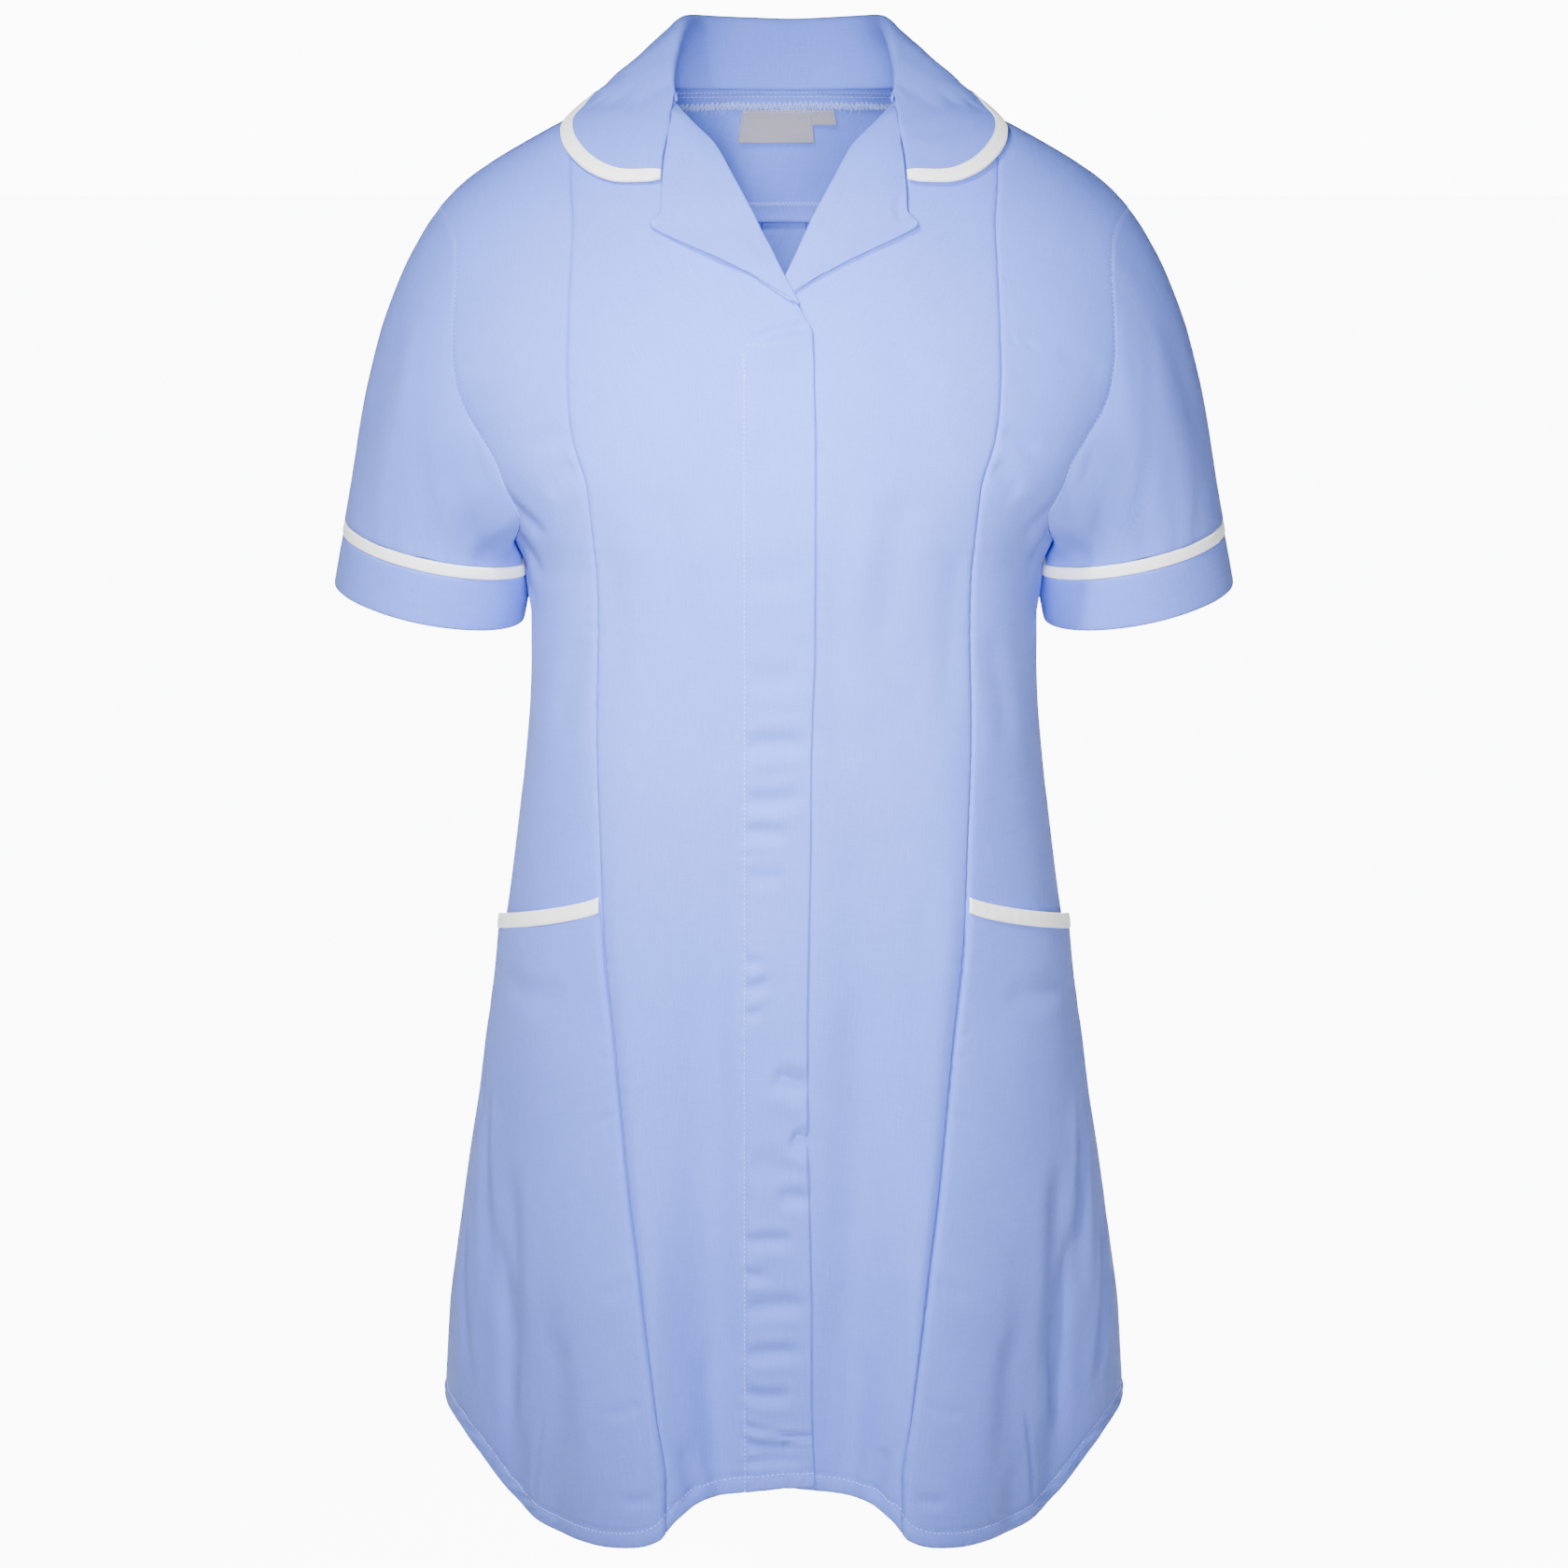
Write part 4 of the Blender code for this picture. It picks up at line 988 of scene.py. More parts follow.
def placket_rise(angle, drop, across):
    """The faced edge: its puckers, its second layer and the pull of its stitch line."""
    from_line = across - PLACKET_LINE
    around = np.degrees(angle) * MM_PER_DEGREE
    rise = crease_rise(around, drop, PLACKET_CREASES, MM_PER_DEGREE, 2.6, 0.3)
    rise = rise * np.where(drop < 150, 1, ease((from_line + 1.5) / 4))
    inside = ease((drop - 141) / 4)
    rise += inside * (0.45 * ease(from_line / 2.5 + 0.5) - 0.8 * hump(from_line, 1.1))
    along = drop + 3 * uneven(drop, 5, 19, 41)
    pucker = np.sin(along * 2 * math.pi / 7.4) * hump(from_line, 4.5)
    rise += 0.4 * inside * pucker * (0.6 + 0.4 * uneven(drop, 9, 40, 42))
    return rise + overlap_rise(angle, drop)


def placket_lines(panel, across, drop):
    """Places of the placket's stitch lines, and of the bar tack at their corner."""
    line = line_on(panel, across, PLACKET_LINE)
    down_line = part_of(line, lambda at: at[:, 2] < -PLACKET_TOP)
    end_line = part_of(
        line_on(panel, drop, PLACKET_TOP, down=False),
        lambda at: (at[:, 0] > PLACKET_LINE) & (at[:, 0] < PLACKET_TURN),
    )
    place, outward = part_of(down_line, lambda at: (-at[:, 2] > 147) & (-at[:, 2] < 160))
    swing = np.sin(np.arange(len(place)) * math.pi / 2)[:, None] * (0.9, 0, 0)
    return [down_line, end_line], (place + swing, outward)


def make_fronts():
    """Both fronts. The right one laps over and has the placket."""
    cloth = chosen("cloth")
    for side, sign in (("right", 1), ("left", -1)):
        angle, drop = front_grid(side == "right")
        base = on_body(angle, drop)
        across, down = run_lengths(base)
        from_seam = across[:, -1:] - across
        from_hem = down * level(base[0])
        place = np.abs(np.degrees(angle)) * MM_PER_DEGREE
        rise = crease_rise(place, drop, FRONT_CREASES, MM_PER_DEGREE) * ease(from_seam / 7)
        worn = cloth_rise(sign * base[..., 0] + 300, drop, 11)
        rise += worn * ease(across / 14) * ease(from_seam / 14)
        rise += hem_rise(from_hem, across, 0.5, 21)
        rise += seam_rise(from_seam, drop[:, -1:], 0.55, 31)
        if side == "right":
            rise += placket_rise(angle, drop, base[..., 0])
        else:
            rise += 0.3 * uneven(drop, across, 55, 45) * hump(across - 34, 20)
        panel = body_panel(sign * angle, drop, rise, cloth)
        runs = [line_on(panel, from_hem, HEM_DEPTH, down=False)]
        trims = []
        if side == "right":
            lines, tack = placket_lines(panel, base[..., 0], drop)
            runs += lines
            trims.append(sew_stitches("bar_tack", [tack], length=1.4, gap=0.1))
        trims.append(sew_stitches("front_%s_stitches" % side, runs))
        cut_piece("front_" + side, panel, trims)


def side_front_grid(columns=40):
    """Angles and drops of the side front, princess seam to side seam."""
    seam, seam_drop = princess_rows()
    edge, edge_drop = side_rows(2)
    angle = -np.radians(mixed(seam, edge, columns))
    return angle, bend_to_hem(angle, mixed(seam_drop, edge_drop, columns))


def make_side_fronts():
    """Both side fronts, each with a seam allowance tucked under the front."""
    cloth = chosen("cloth")
    angle, drop = side_front_grid()
    seam, seam_drop, lean = angle[:, :1], drop[:, :1], 0.01
    step = on_body(seam + lean, seam_drop) - on_body(seam, seam_drop)
    rate = np.linalg.norm(step, axis=-1) / lean
    tucked = [seam + reach / rate for reach in (2.6, 1.3, 0.4)]
    angle = np.concatenate((*tucked, angle), axis=1)
    drop = np.concatenate((seam_drop, seam_drop, seam_drop, drop), axis=1)
    base = on_body(angle, drop)
    across, down = run_lengths(base)
    across = across - across[:, 3:4]
    from_side = across[:, -1:] - across
    place = np.abs(np.degrees(angle)) * MM_PER_DEGREE
    rise = crease_rise(place, drop, SIDE_CREASES, MM_PER_DEGREE)
    rise = rise * ease(across / 4) * ease(from_side / 4)
    rise += cloth_rise(base[..., 0] + 300, drop, 51) * ease(across / 14) * ease(from_side / 14)
    rise += seam_rise(np.abs(across), drop[:, 3:4], 0.55, 31)
    rise += seam_rise(from_side, down, 0.32, 54, spacing=7.0)
    rise += hem_rise(down * level(base[0]), across, 0.12, 56)
    rise = np.minimum(rise, 0.9) - 1.0 * (1 - ease(across / 5)) * ease((drop - 462) / 8)
    rise = rise - 1.9 * ease(-across / 0.5)
    for side, sign in (("right", 1), ("left", -1)):
        panel = body_panel(sign * angle, drop, rise, cloth)
        node = "side_front_" + side
        line = part_of(line_on(panel, from_side, 1.3), lambda at: at[:, 2] > 2 - UNDERARM_DROP)
        stitches = sew_stitches(node + "_stitches", [line], "blue", 1.9, 0.8, 0.2)
        cut_piece(node, panel, [stitches])


def pocket_opening(share, down):
    """The slanted mouth, from the princess seam to the side seam."""
    drop = 444 + 31 * share ** 0.8 + down
    seam = read(PRINCESS_SEAM, 1, drop)
    return seam + (90 - seam) * share, drop


def pocket_height(angle, drop):
    """How far the pocket stands off the side front."""
    degrees = np.degrees(np.abs(angle))
    outward = ease((degrees - 45) / 35) * (1 - 0.5 * ease((drop - 480) / 260))
    return 1.6 + (0.6 + 1.7 * outward) * ease((90 - degrees) / 5)


def make_pockets(columns=86, rows=150):
    """Both pockets with their bindings."""
    cloth, bound = chosen("cloth"), chosen("pocket_binding")
    share = np.linspace(0, 1, columns + 1)
    top_drop = pocket_opening(share, bound - 1.2)[1]
    hem_drop = side_front_grid(columns)[1][0]
    drop = hem_drop + (top_drop - hem_drop) * np.linspace(0, 1, rows + 1)[:, None]
    seam = read(PRINCESS_SEAM, 1, drop[:, :1])
    angle = -np.radians(seam + (90 - seam) * share)
    base = on_body(angle, drop)
    across, down = run_lengths(base)
    from_side = across[:, -1:] - across
    from_hem = down * level(base[0])
    degrees = np.abs(np.degrees(angle))
    inner = ease(across / 12) * ease(from_side / 12)
    rise = crease_rise(degrees * MM_PER_DEGREE, drop, POCKET_CREASES, MM_PER_DEGREE)
    rise = rise * ease(across / 4) * ease(from_side / 4)
    rise += cloth_rise(base[..., 0] + 300, drop, 61) * inner
    rise += 0.5 * uneven(across, down, 45, 67) * inner
    rise += seam_rise(across, drop[:, :1], 0.55, 31)
    rise += seam_rise(from_side, down, 0.3, 64, spacing=7.0)
    rise += hem_rise(from_hem, np.abs(base[..., 0]), 0.4 + 0.8 * hump(degrees - 66, 17), 66)
    rise = np.maximum(rise, -1.4) + pocket_height(angle, drop) - 1.1 * (1 - ease(across / 4))

    strips = np.linspace(bound, 0, 9)
    lines = [pocket_opening(share, strip) for strip in strips]
    strip_angle = -np.radians(np.array([line[0] for line in lines]))
    strip_drop = np.array([line[1] for line in lines])
    round_edge = np.sqrt(np.clip(1 - ((strips / bound - 0.5) / 0.5) ** 4, 0, 1))[:, None]
    strip_across = run_lengths(on_body(strip_angle, strip_drop))[0]
    strip_rise = np.maximum(pocket_height(strip_angle, strip_drop) + 0.15, 1.9) + 0.75 * round_edge
    wave = strip_across * 2 * math.pi / 9 + 2 * uneven(strip_across, 0, 20, 68)
    strip_rise = strip_rise + 0.1 * np.sin(wave)
    for side, sign in (("right", 1), ("left", -1)):
        panel = body_panel(sign * angle, drop, rise, cloth)
        node, trim = "pocket_" + side, "pocket_binding_" + side
        strip = body_panel(sign * strip_angle, strip_drop, strip_rise, 1.5)
        edge_line = line_on(strip, strip_drop - strip_drop[-1], bound - 1.1, down=False)
        cut_piece(node, panel, [
            sew_stitches(node + "_stitches", [line_on(panel, from_hem, HEM_DEPTH, down=False)]),
            trim_piece(trim, strip),
            sew_stitches(trim + "_stitches", [edge_line], "white", 1.9, 0.6, 0.17, 0.05),
        ])


def back_columns(edge, spread, pleat_half=13.5):
    """Angles across the back, with columns close together at the pleat's two folds."""
    folds = np.array((-17, -15, -14.3, -13.9, -13.5, -13.1, -12.6, -11.5, -8, -4, 0))
    folds = np.concatenate((folds, -folds[-2::-1])) * pleat_half / 13.5
    pleat = np.degrees(np.arcsin(folds / 105)) + 180
    shares = np.linspace(0, 1, spread + 1)[:-1]
    left = edge[:, None] + (pleat[0] - edge[:, None]) * shares
    middle = np.broadcast_to(pleat, (len(edge), len(pleat)))
    return np.radians(np.concatenate((left, middle, 360 - left[:, ::-1]), axis=1))


def make_back(spread=46, neck_share=0.6):
    """The back with its box pleat, a seam allowance at both sides, and the yoke above."""
    cloth = chosen("cloth")
    edge, edge_drop = side_rows(3)
    turns = fine_turns()
    keep = np.concatenate((np.full(len(edge) - len(turns), True), turns >= YOKE_TURN))
    edge, edge_drop = edge[keep], edge_drop[keep]
    angle = back_columns(edge, spread)
    turned = np.minimum(angle, 2 * math.pi - angle)
    inward = (turned - turned[:, :1]) / (math.pi - turned[:, :1])
    centre = np.linspace(float(read(HEM, 1, 180)), YOKE_DROP, len(edge))[:, None]
    drop = edge_drop[:, None] + (centre - edge_drop[:, None]) * ease(inward)
    drop = np.pad(bend_to_hem(turned, drop), ((0, 0), (1, 1)), mode="edge")
    tucked = 0.013
    angle = np.concatenate((angle[:, :1] - tucked, angle, angle[:, -1:] + tucked), axis=1)
    turned = np.minimum(angle, 2 * math.pi - angle)
    angle = by_front(angle)
    base = on_body(angle, drop)
    across, down = run_lengths(base)
    aside = np.abs(base[..., 0])
    spreading = 1 - ease((drop - 250) / 170)
    pleat = 2.4 * (1 - ease((aside - 13.1) / 1.6)) - 0.5 * hump(aside - 14.6, 0.9)
    rise = pleat * spreading
    side_gap = np.abs(np.minimum(across, across[:, -1:] - across) - 2.4)
    inner = ease(side_gap / 14)
    around = np.degrees(turned) * MM_PER_DEGREE
    rise += crease_rise(around, drop, BACK_CREASES, MM_PER_DEGREE) * inner
    rise += cloth_rise(base[..., 0] + 300, drop, 71) * inner * ease((down[-1:] - down) / 14)
    rise += seam_rise(side_gap, down, 0.22, 72, spacing=7.0)
    rise += seam_rise(down[-1:] - down, across, 0.14, 73)
    from_hem = down * level(base[0])
    rise += hem_rise(from_hem, across, 0.2, 74)
    rise[:, [0, -1]] -= 1.6
    panel = body_panel(angle, drop, rise, cloth)
    runs = [line_on(panel, from_hem, HEM_DEPTH, down=False)]
    for turn in (-1, 1):
        line = line_on(panel, turn * base[..., 0], PLEAT_TACK)
        runs.append(part_of(line, lambda at: at[:, 2] > -96))
    cut_piece("back", panel, [sew_stitches("back_stitches", runs)])
    make_yoke(angle[-1, 1:-1], drop[-1, 1:-1], neck_share)


def make_yoke(seam_angle, seam_drop, neck_share, rows=34):
    """The yoke from its seam to the neck and the shoulders, with the allowance inside."""
    cloth = chosen("cloth")
    spread = np.abs(np.linspace(-1, 1, len(seam_angle)))
    on_neck = np.clip(spread / neck_share, 0, 1)
    on_shoulder = np.clip((spread - neck_share) / (1 - neck_share), 0, 1)
    neck_point, shoulder_point = NECK_LINE[2][1], ARMHOLE[0][1]
    top_drop = read(NECK_LINE, 1, 180 - 90 * on_neck) + (shoulder_point - neck_point) * on_shoulder
    top_turned = np.radians(180 - 90 * on_neck)
    share = np.linspace(0, 1, rows + 1)[:, None]
    turned = np.abs(seam_angle) + (top_turned - np.abs(seam_angle)) * share
    drop = seam_drop + (top_drop - seam_drop) * share
    turn = YOKE_TURN * (1 - share[:, 0])
    for end in (0, -1):
        turned[:, end], drop[:, end] = np.radians(read(ARMHOLE, 3, turn)), read(ARMHOLE, 1, turn)
    angle = np.sign(seam_angle) * turned
    base = on_body(angle, drop)
    across, down = run_lengths(base)
    rise = 0.35 * cloth_rise(base[..., 0] + 300, drop, 81)
    rise = rise * ease(down / 10) * ease((down[-1:] - down) / 10)
    rise += seam_rise(down, across, 0.1, 82) - 0.2 * hump(down - 2.2, 0.7)
    panel = body_panel(angle, drop, rise, cloth)
    stitches = sew_stitches("back_yoke_stitches", [line_on(panel, down, 2.2, down=False)])
    inside = panel.grid - panel.normal * (cloth + 0.25)
    middle = slice(2, -2)
    inside = np.concatenate((2 * inside[:1] - inside[1:2], inside[:5]))[:, middle][:, ::-1]
    allowance = Panel(inside, -panel.normal[:6, middle][:, ::-1], 0.5)
    turned_up = sew_shell("yoke_seam_allowance", allowance, material("blue_cotton_cloth"))
    dress(turned_up)
    edge, under = allowance.grid[-1], allowance.grid[-2]
    loops = overlock_path(edge, allowance.normal[-1], under - edge, 2.4, 1.9)
    overlock = sew_thread("yoke_seam_overlock", [loops], 0.17, 5)
    cut_piece("back_yoke", panel, [stitches, turned_up, overlock])


def overlock_path(edge, outward, inward, depth, pitch):
    """A looped thread that swings over a raw edge and back."""
    far = far_along(edge)
    steps = np.arange(0, far[-1], pitch / 6)
    middle, over, up = (at_lengths(line, far, steps) for line in (edge, inward, outward))
    phase = steps * 2 * math.pi / pitch
    swing = (0.5 - 0.5 * np.cos(phase))[:, None]
    wave = 0.22 * uneven(steps, 0, 5, 91)[:, None]
    lift = (0.12 + 0.16 * np.sin(phase) ** 2)[:, None]
    return middle + unit(over) * (swing * depth - 0.35 + wave) + unit(up) * lift


def make_neck():
    """The band inside the back neck with its overlocked raw edge, the label and the size tab."""
    cloth = chosen("cloth")
    place = np.arange(121.0)
    angle = by_front(np.radians(180 + np.linspace(-55, 55, len(place))))
    top = 3.6 - 0.6 * np.abs(np.abs(angle) - math.pi)
    depth = np.linspace(14, 0, 22)[:, None]
    ragged = 0.5 * uneven(place, 0, 5, 92) * ease((depth - 9) / 4)
    drop = top + depth + ragged
    angle = np.broadcast_to(angle, drop.shape)
    along = place[None] * 1.6
    rise = -1.2 - 0.9 - 0.25 * hump(depth - 4, 0.8) + 0.12 * uneven(along, depth, 7, 93)
    grid = raised(angle, drop, rise)
    band = Panel(grid, -grid * (1, 1, 0), cloth * 0.7)
    runs = [(band.grid[row], band.normal[row]) for row in (15, 11)]
    trims = [sew_stitches("neck_band_stitches", runs, "blue", 2.0, 0.6, 0.2)]
    inward = band.grid[1] - band.grid[0]
    edge, up = band.grid[0], band.normal[0]
    loops = [
        overlock_path(edge + up * 0.12 * k, up, inward, 5.4 - k, pitch)
        for k, pitch in enumerate((3.1, 2.3))
    ]
    trims.append(sew_thread("neck_band_overlock", loops, 0.3, 5))
    trims.append(sew_thread("neck_band_frays", frays(band), 0.16, 4))

    for name, start, size, seed in (("size_tab", 16, (12.5, 8.5), 4), ("label", -24, (40, 19), 3)):
        across = start + np.linspace(0, size[0], 41)
        down = np.linspace(size[1], 0, 27)[:, None]
        drop = 17.4 + down + 0.25 * np.sin((across - start) / size[0] * math.pi)
        around = np.broadcast_to(by_front(math.pi - np.arcsin(across / 72)), drop.shape)
        wave = 0.35 * np.sin((across - start) / size[0] * 2.4 + seed)
        curl = 0.9 * ease(down / size[1]) * (1 + wave)
        fold = 0.35 * (hump(across - start, 1.0) + hump(across - start - size[0], 1.0))
        grid = raised(around, drop, -1.2 - 1.3 - curl - fold)
        tape = Panel(grid, -grid * (1, 1, 0), 0.45)
        three_sides = (slice(None), 2), (-3, slice(None)), (slice(None), -3)
        lines = [(tape.grid[side], tape.normal[side]) for side in three_sides]
        stitches = sew_stitches(name + "_stitches", lines, "blue", 1.3, 0.5, 0.11, 0.04)
        if name == "size_tab":
            trims += [stitches, trim_piece(name, tape, "label_tape")]
            cut_piece("neck_band", band, trims)
        else:
            cut_piece(name, tape, [stitches])


def frays(band, count=34):
    """Short ends of thread that stand off the band's raw edge."""
    rng = np.random.default_rng(95)
    paths = []
    for column in rng.integers(4, 117, count):
        start, outward = band.grid[0, column], band.normal[0, column]
        length, lean, curl = rng.uniform(1.4, 4.2), rng.uniform(-0.9, 0.9), rng.uniform(-1, 1)
        side = unit(band.grid[0, column + 1] - band.grid[0, column - 1])
        t = np.linspace(0, 1, 7)[:, None]
        bend = side * (lean * t + 0.5 * curl * t * t) * length
        lift = outward * (0.2 + 0.5 * t * t)
        paths.append(start + (0, 0, 0.8) - t * (0, 0, length) + bend + lift)
    return paths


def make_revers(columns=44, rows=110, roll_steps=8):
    """Both revers, each rolled over from its front's edge. The right one lies on top."""
    cloth = 1.3          # the front and its facing, pressed
    share = np.linspace(0, 1, rows + 1)
    roll_drop = REVER_START + (REVER_END - REVER_START) * share
    roll = read(ROLL_LINE, 1, roll_drop)
    across = np.linspace(0, 1, columns + 1)
    edge = np.interp(share, *np.array(REVER_EDGE, float).T[[0, 2]])
    edge_drop = np.interp(share, *np.array(REVER_EDGE, float).T[[0, 1]])
    soft = np.ones(5) / 5
    padded = np.pad(edge, 2, mode="edge"), np.pad(edge_drop, 2, mode="edge")
    edge, edge_drop = (np.convolve(line, soft, "valid") for line in padded)
    angle = np.radians(roll[:, None] + (edge - roll)[:, None] * across)
    drop = roll_drop[:, None] + (edge_drop - roll_drop)[:, None] * across
    puff = 1.4 * np.sin(math.pi * across) * (ease(share * 4) * ease((1 - share) * 3))[:, None]
    by_collar = 1.4 * across * (1 - ease((share - 0.3) / 0.3))[:, None]
    near_break = ease((drop - 80) / 25)
    tuck = crease_rise(across[None] * 60 + 0 * drop, share[:, None] * 107 + 0 * drop, (
        (58, 41, 52, 46, 49, 52, 2.2, 0.9),
        (36, 20, 30, 48, 26, 70, 7.0, 0.35),
        (12, 30, 16, 60, 12, 88, 6.0, 0.3),
    ), gain=1.0)
    for side, sign, rise in (("right", 1, 4.5), ("left", -1, 0.0)):
        height = 2.2 + puff + by_collar + rise * near_break + tuck
        height = height + 0.9 * across ** 6 * ease((share - 0.4) / 0.1)[:, None]
        height = height * (0.3 + 0.7 * ease(share / 0.07))[:, None]
        face = raised(sign * angle, drop, height)
        fold_angle, fold_drop = sign * angle[:, 0], drop[:, 0]
        under = overlap_rise(fold_angle, fold_drop) if side == "right" else 0
        foot = raised(fold_angle, fold_drop, under - 0.4)
        run = unit(np.gradient(foot, axis=0))
        up = face[:, 0] - foot
        away = unit(np.cross(run, up))
        away *= np.sign(dot(away, foot - face[:, 6]))[:, None]
        tall = np.linalg.norm(up, axis=-1, keepdims=True)
        roll_rows = []
        for bend in np.linspace(0, math.pi, roll_steps + 1)[:-1]:
            out = away * tall * 0.42 * math.sin(bend)
            roll_rows.append(foot + up * (1 - math.cos(bend)) / 2 + out)
        grid = np.concatenate((np.stack(roll_rows, 1), face), axis=1)
        panel = Panel(grid, 0 * grid + (0, -1, 0.3), cloth)
        cut_piece("rever_" + side, panel, ())


def collar_profile(neck, fold, edge, roll=2.4, bulge=10):
    """Rows over the collar: up the stand, round the top fold and down the fall."""
    along = unit(np.gradient(fold, axis=0))
    level_out = (edge - fold) * (1, 1, 0)
    outward = unit(level_out - along * dot(level_out, along)[:, None])
    up = np.cross(along, outward)
    size = np.clip(np.linalg.norm(fold - neck, axis=-1, keepdims=True) / 12, 0.25, 1) * roll
    middle = fold + outward * size
    rows = [neck + (fold - neck) * share for share in (-0.17, 0, 0.5)]
    for turn in (0, 45, 90, 135):
        bend = math.radians(turn)
        rows.append(middle - outward * size * math.cos(bend) + up * size * math.sin(bend))
    start = rows[-1]
    for share in (0.15, 0.32, 0.5, 0.68, 0.84, 1):
        rows.append(start + (edge - start) * share + (0, 0, bulge * share * (1 - share)))
    return np.stack(rows)


def resampled(rows, count):
    """More rows on a smooth curve through a stack of rows, evenly spaced on the whole."""
    gaps = np.linalg.norm(np.diff(rows, axis=0), axis=-1).mean(axis=1)
    far = np.concatenate(([0], np.cumsum(gaps)))
    slope = np.gradient(rows, far, axis=0)
    where = np.linspace(0, far[-1], count)
    row = np.clip(np.searchsorted(far, where, side="right") - 1, 0, len(far) - 2)
    gap = (far[row + 1] - far[row])[:, None, None]
    t = (where - far[row])[:, None, None] / gap
    return bent(t, rows[row], gap * slope[row], rows[row + 1], gap * slope[row + 1])


def collar_grid(half=92):
    """The collar's middle face, both sides in one."""
    table = np.array(COLLAR, float)
    stations = np.concatenate((np.linspace(0, 3, 30)[:-1], np.linspace(3, 11, half - 29)))
    place = np.arange(len(table))
    turned, *columns = [smooth(place, column, stations) for column in table.T]
    neck = on_body(np.radians(turned), read(NECK_LINE, 1, turned)) + (0, 0, 1)
    one_side = np.concatenate((neck, np.stack(columns, -1)), axis=1)
    mirror = one_side[:0:-1] * (-1, 1, 1, -1, 1, 1, -1, 1, 1)
    whole = np.concatenate((mirror, one_side))
    kernel = np.array((1, 2, 3, 2, 1)) / 9
    inside = slice(2, -2)
    for _ in range(3):
        whole[inside] = sum(whole[k:len(whole) - 4 + k] * kernel[k] for k in range(5))
    middle = collar_profile(whole[:, :3], whole[:, 3:6], whole[:, 6:])
    rows = len(FALL_HEIGHTS)
    middle[-rows:] = pushed_off(middle[-rows:], np.array(FALL_HEIGHTS)[:, None])
    share = np.linspace(0, 1, rows + 1)[1:]
    for end, sign in ((0, -1), (-1, 1)):
        angle, drop = np.radians(read(GORGE, 2, share)), read(GORGE, 1, share)
        target = raised(sign * angle, drop, np.array(FALL_HEIGHTS))
        middle[-rows:, end] += target - middle[-rows:, end]
    return resampled(middle, 66)


def make_collar():
    """The collar's leaf, tucked into its binding."""
    grid = collar_grid()
    across, down = run_lengths(grid)
    to_edge = down[-1:] - down
    bound = chosen("collar_binding")
    folds = crease_rise(np.abs(across - across[:, -1:] / 2), to_edge, (
        (150, 10, 146, 22, 140, 40, 4.0, 0.9),
        (170, 14, 166, 26, 160, 44, 5.0, 0.6),
        (128, 16, 124, 30, 112, 46, 6.0, 0.5),
        (96, 14, 92, 28, 84, 44, 7.0, 0.4),
    ), gain=0.5)
    rise = folds + 0.3 * uneven(across, to_edge, 26, 101) * ease(to_edge / 14)
    rise = rise * ease((down - 20) / 14)
    normal = grid_normal(grid)
    outward = normal * (1 if dot(normal[-8, len(grid[0]) // 2], (0, 1, 1)) > 0 else -1)
    tuck_in = np.argmin(np.abs(to_edge.mean(axis=1) - bound + 0.8))
    leaf_grid = grid + outward * (rise + 0.8)[..., None]
    leaf = Panel(leaf_grid[:tuck_in + 1], outward[:tuck_in + 1], 1.3)
    leaf.normal = outward[:tuck_in + 1]

    strip_share = np.linspace(0, 1, 12)[:, None, None]
    inner_line, outer_line = grid[tuck_in - 1], grid[-1]
    strip = inner_line + (outer_line - inner_line) * strip_share
    round_over = np.sqrt(np.clip(1 - (np.abs(strip_share - 0.42) / 0.58) ** 3.2, 0, 1))
    face = outward[-1] * (0.7 + 0.75 * round_over)
    binding = Panel(strip + face, outward[-1:] + 0 * strip, 1.9)
    binding.normal = outward[-1:] + 0 * strip
    stand = (leaf.grid[2, 8:-8] - outward[2, 8:-8] * 1.3, -outward[2, 8:-8])
    edge_line = (binding.grid[1], binding.normal[1])
    cut_piece("collar", leaf, [
        trim_piece("collar_binding", binding),
        sew_stitches("collar_binding_stitches", [edge_line], "white", 1.9, 0.6, 0.16, 0.05),
        sew_stitches("collar_stand_stitches", [stand], "blue", 2.0, 0.6, 0.18),
    ])


def clear_of_side(points):
    """Points of a sleeve moved out where they would touch the body's side."""
    angle = np.arctan2(points[..., 0], -points[..., 1])
    drop = np.maximum(-points[..., 2], UNDERARM_DROP)
    above = np.maximum(UNDERARM_DROP + points[..., 2], 0)
    least = body_radius(angle, drop) + SLEEVE_CLEARANCE - 1.5 * above
    radius = np.hypot(points[..., 0], points[..., 1])
    grow = np.maximum(least / radius, 1)
    return points * np.stack((grow, grow, np.ones_like(grow)), -1)


# Folds of a sleeve: turn from the top (front is below nothing) and millimetres below the armhole,
# by a middle to an end. turn, down, turn, down, turn, down, width, depth
SLEEVE_CREASES = (
    (-40, 40, -48, 90, -52, 150, 10, -1.2),
    (-72, 40, -82, 80, -88, 118, 9, 1.3),
    (-104, 18, -112, 44, -118, 74, 7, -0.8),
    (-128, 6, -122, 30, -112, 62, 5, 0.7),
    (-20, 60, -22, 110, -18, 168, 9, 0.8),
    (-96, 4, -88, 24, -80, 52, 6, 0.9),
    (-148, 4, -140, 18, -130, 34, 4, 0.4),
    (34, 50, 40, 110, 44, 160, 10, 0.9),
    (70, 30, 80, 80, 84, 118, 9, -1.0),
    (104, 14, 112, 44, 116, 74, 7, 1.0),
    (140, 6, 130, 24, 122, 48, 5, 0.9),
)
SLEEVE_MM = 1.05         # millimetres round the sleeve for a degree of turn
SLEEVE_FOOT = 30 + 7.5   # from the sleeve's end to its cuff's end, in the solids
BINDING_ROWS = 7
CUFF_ROWS = 17


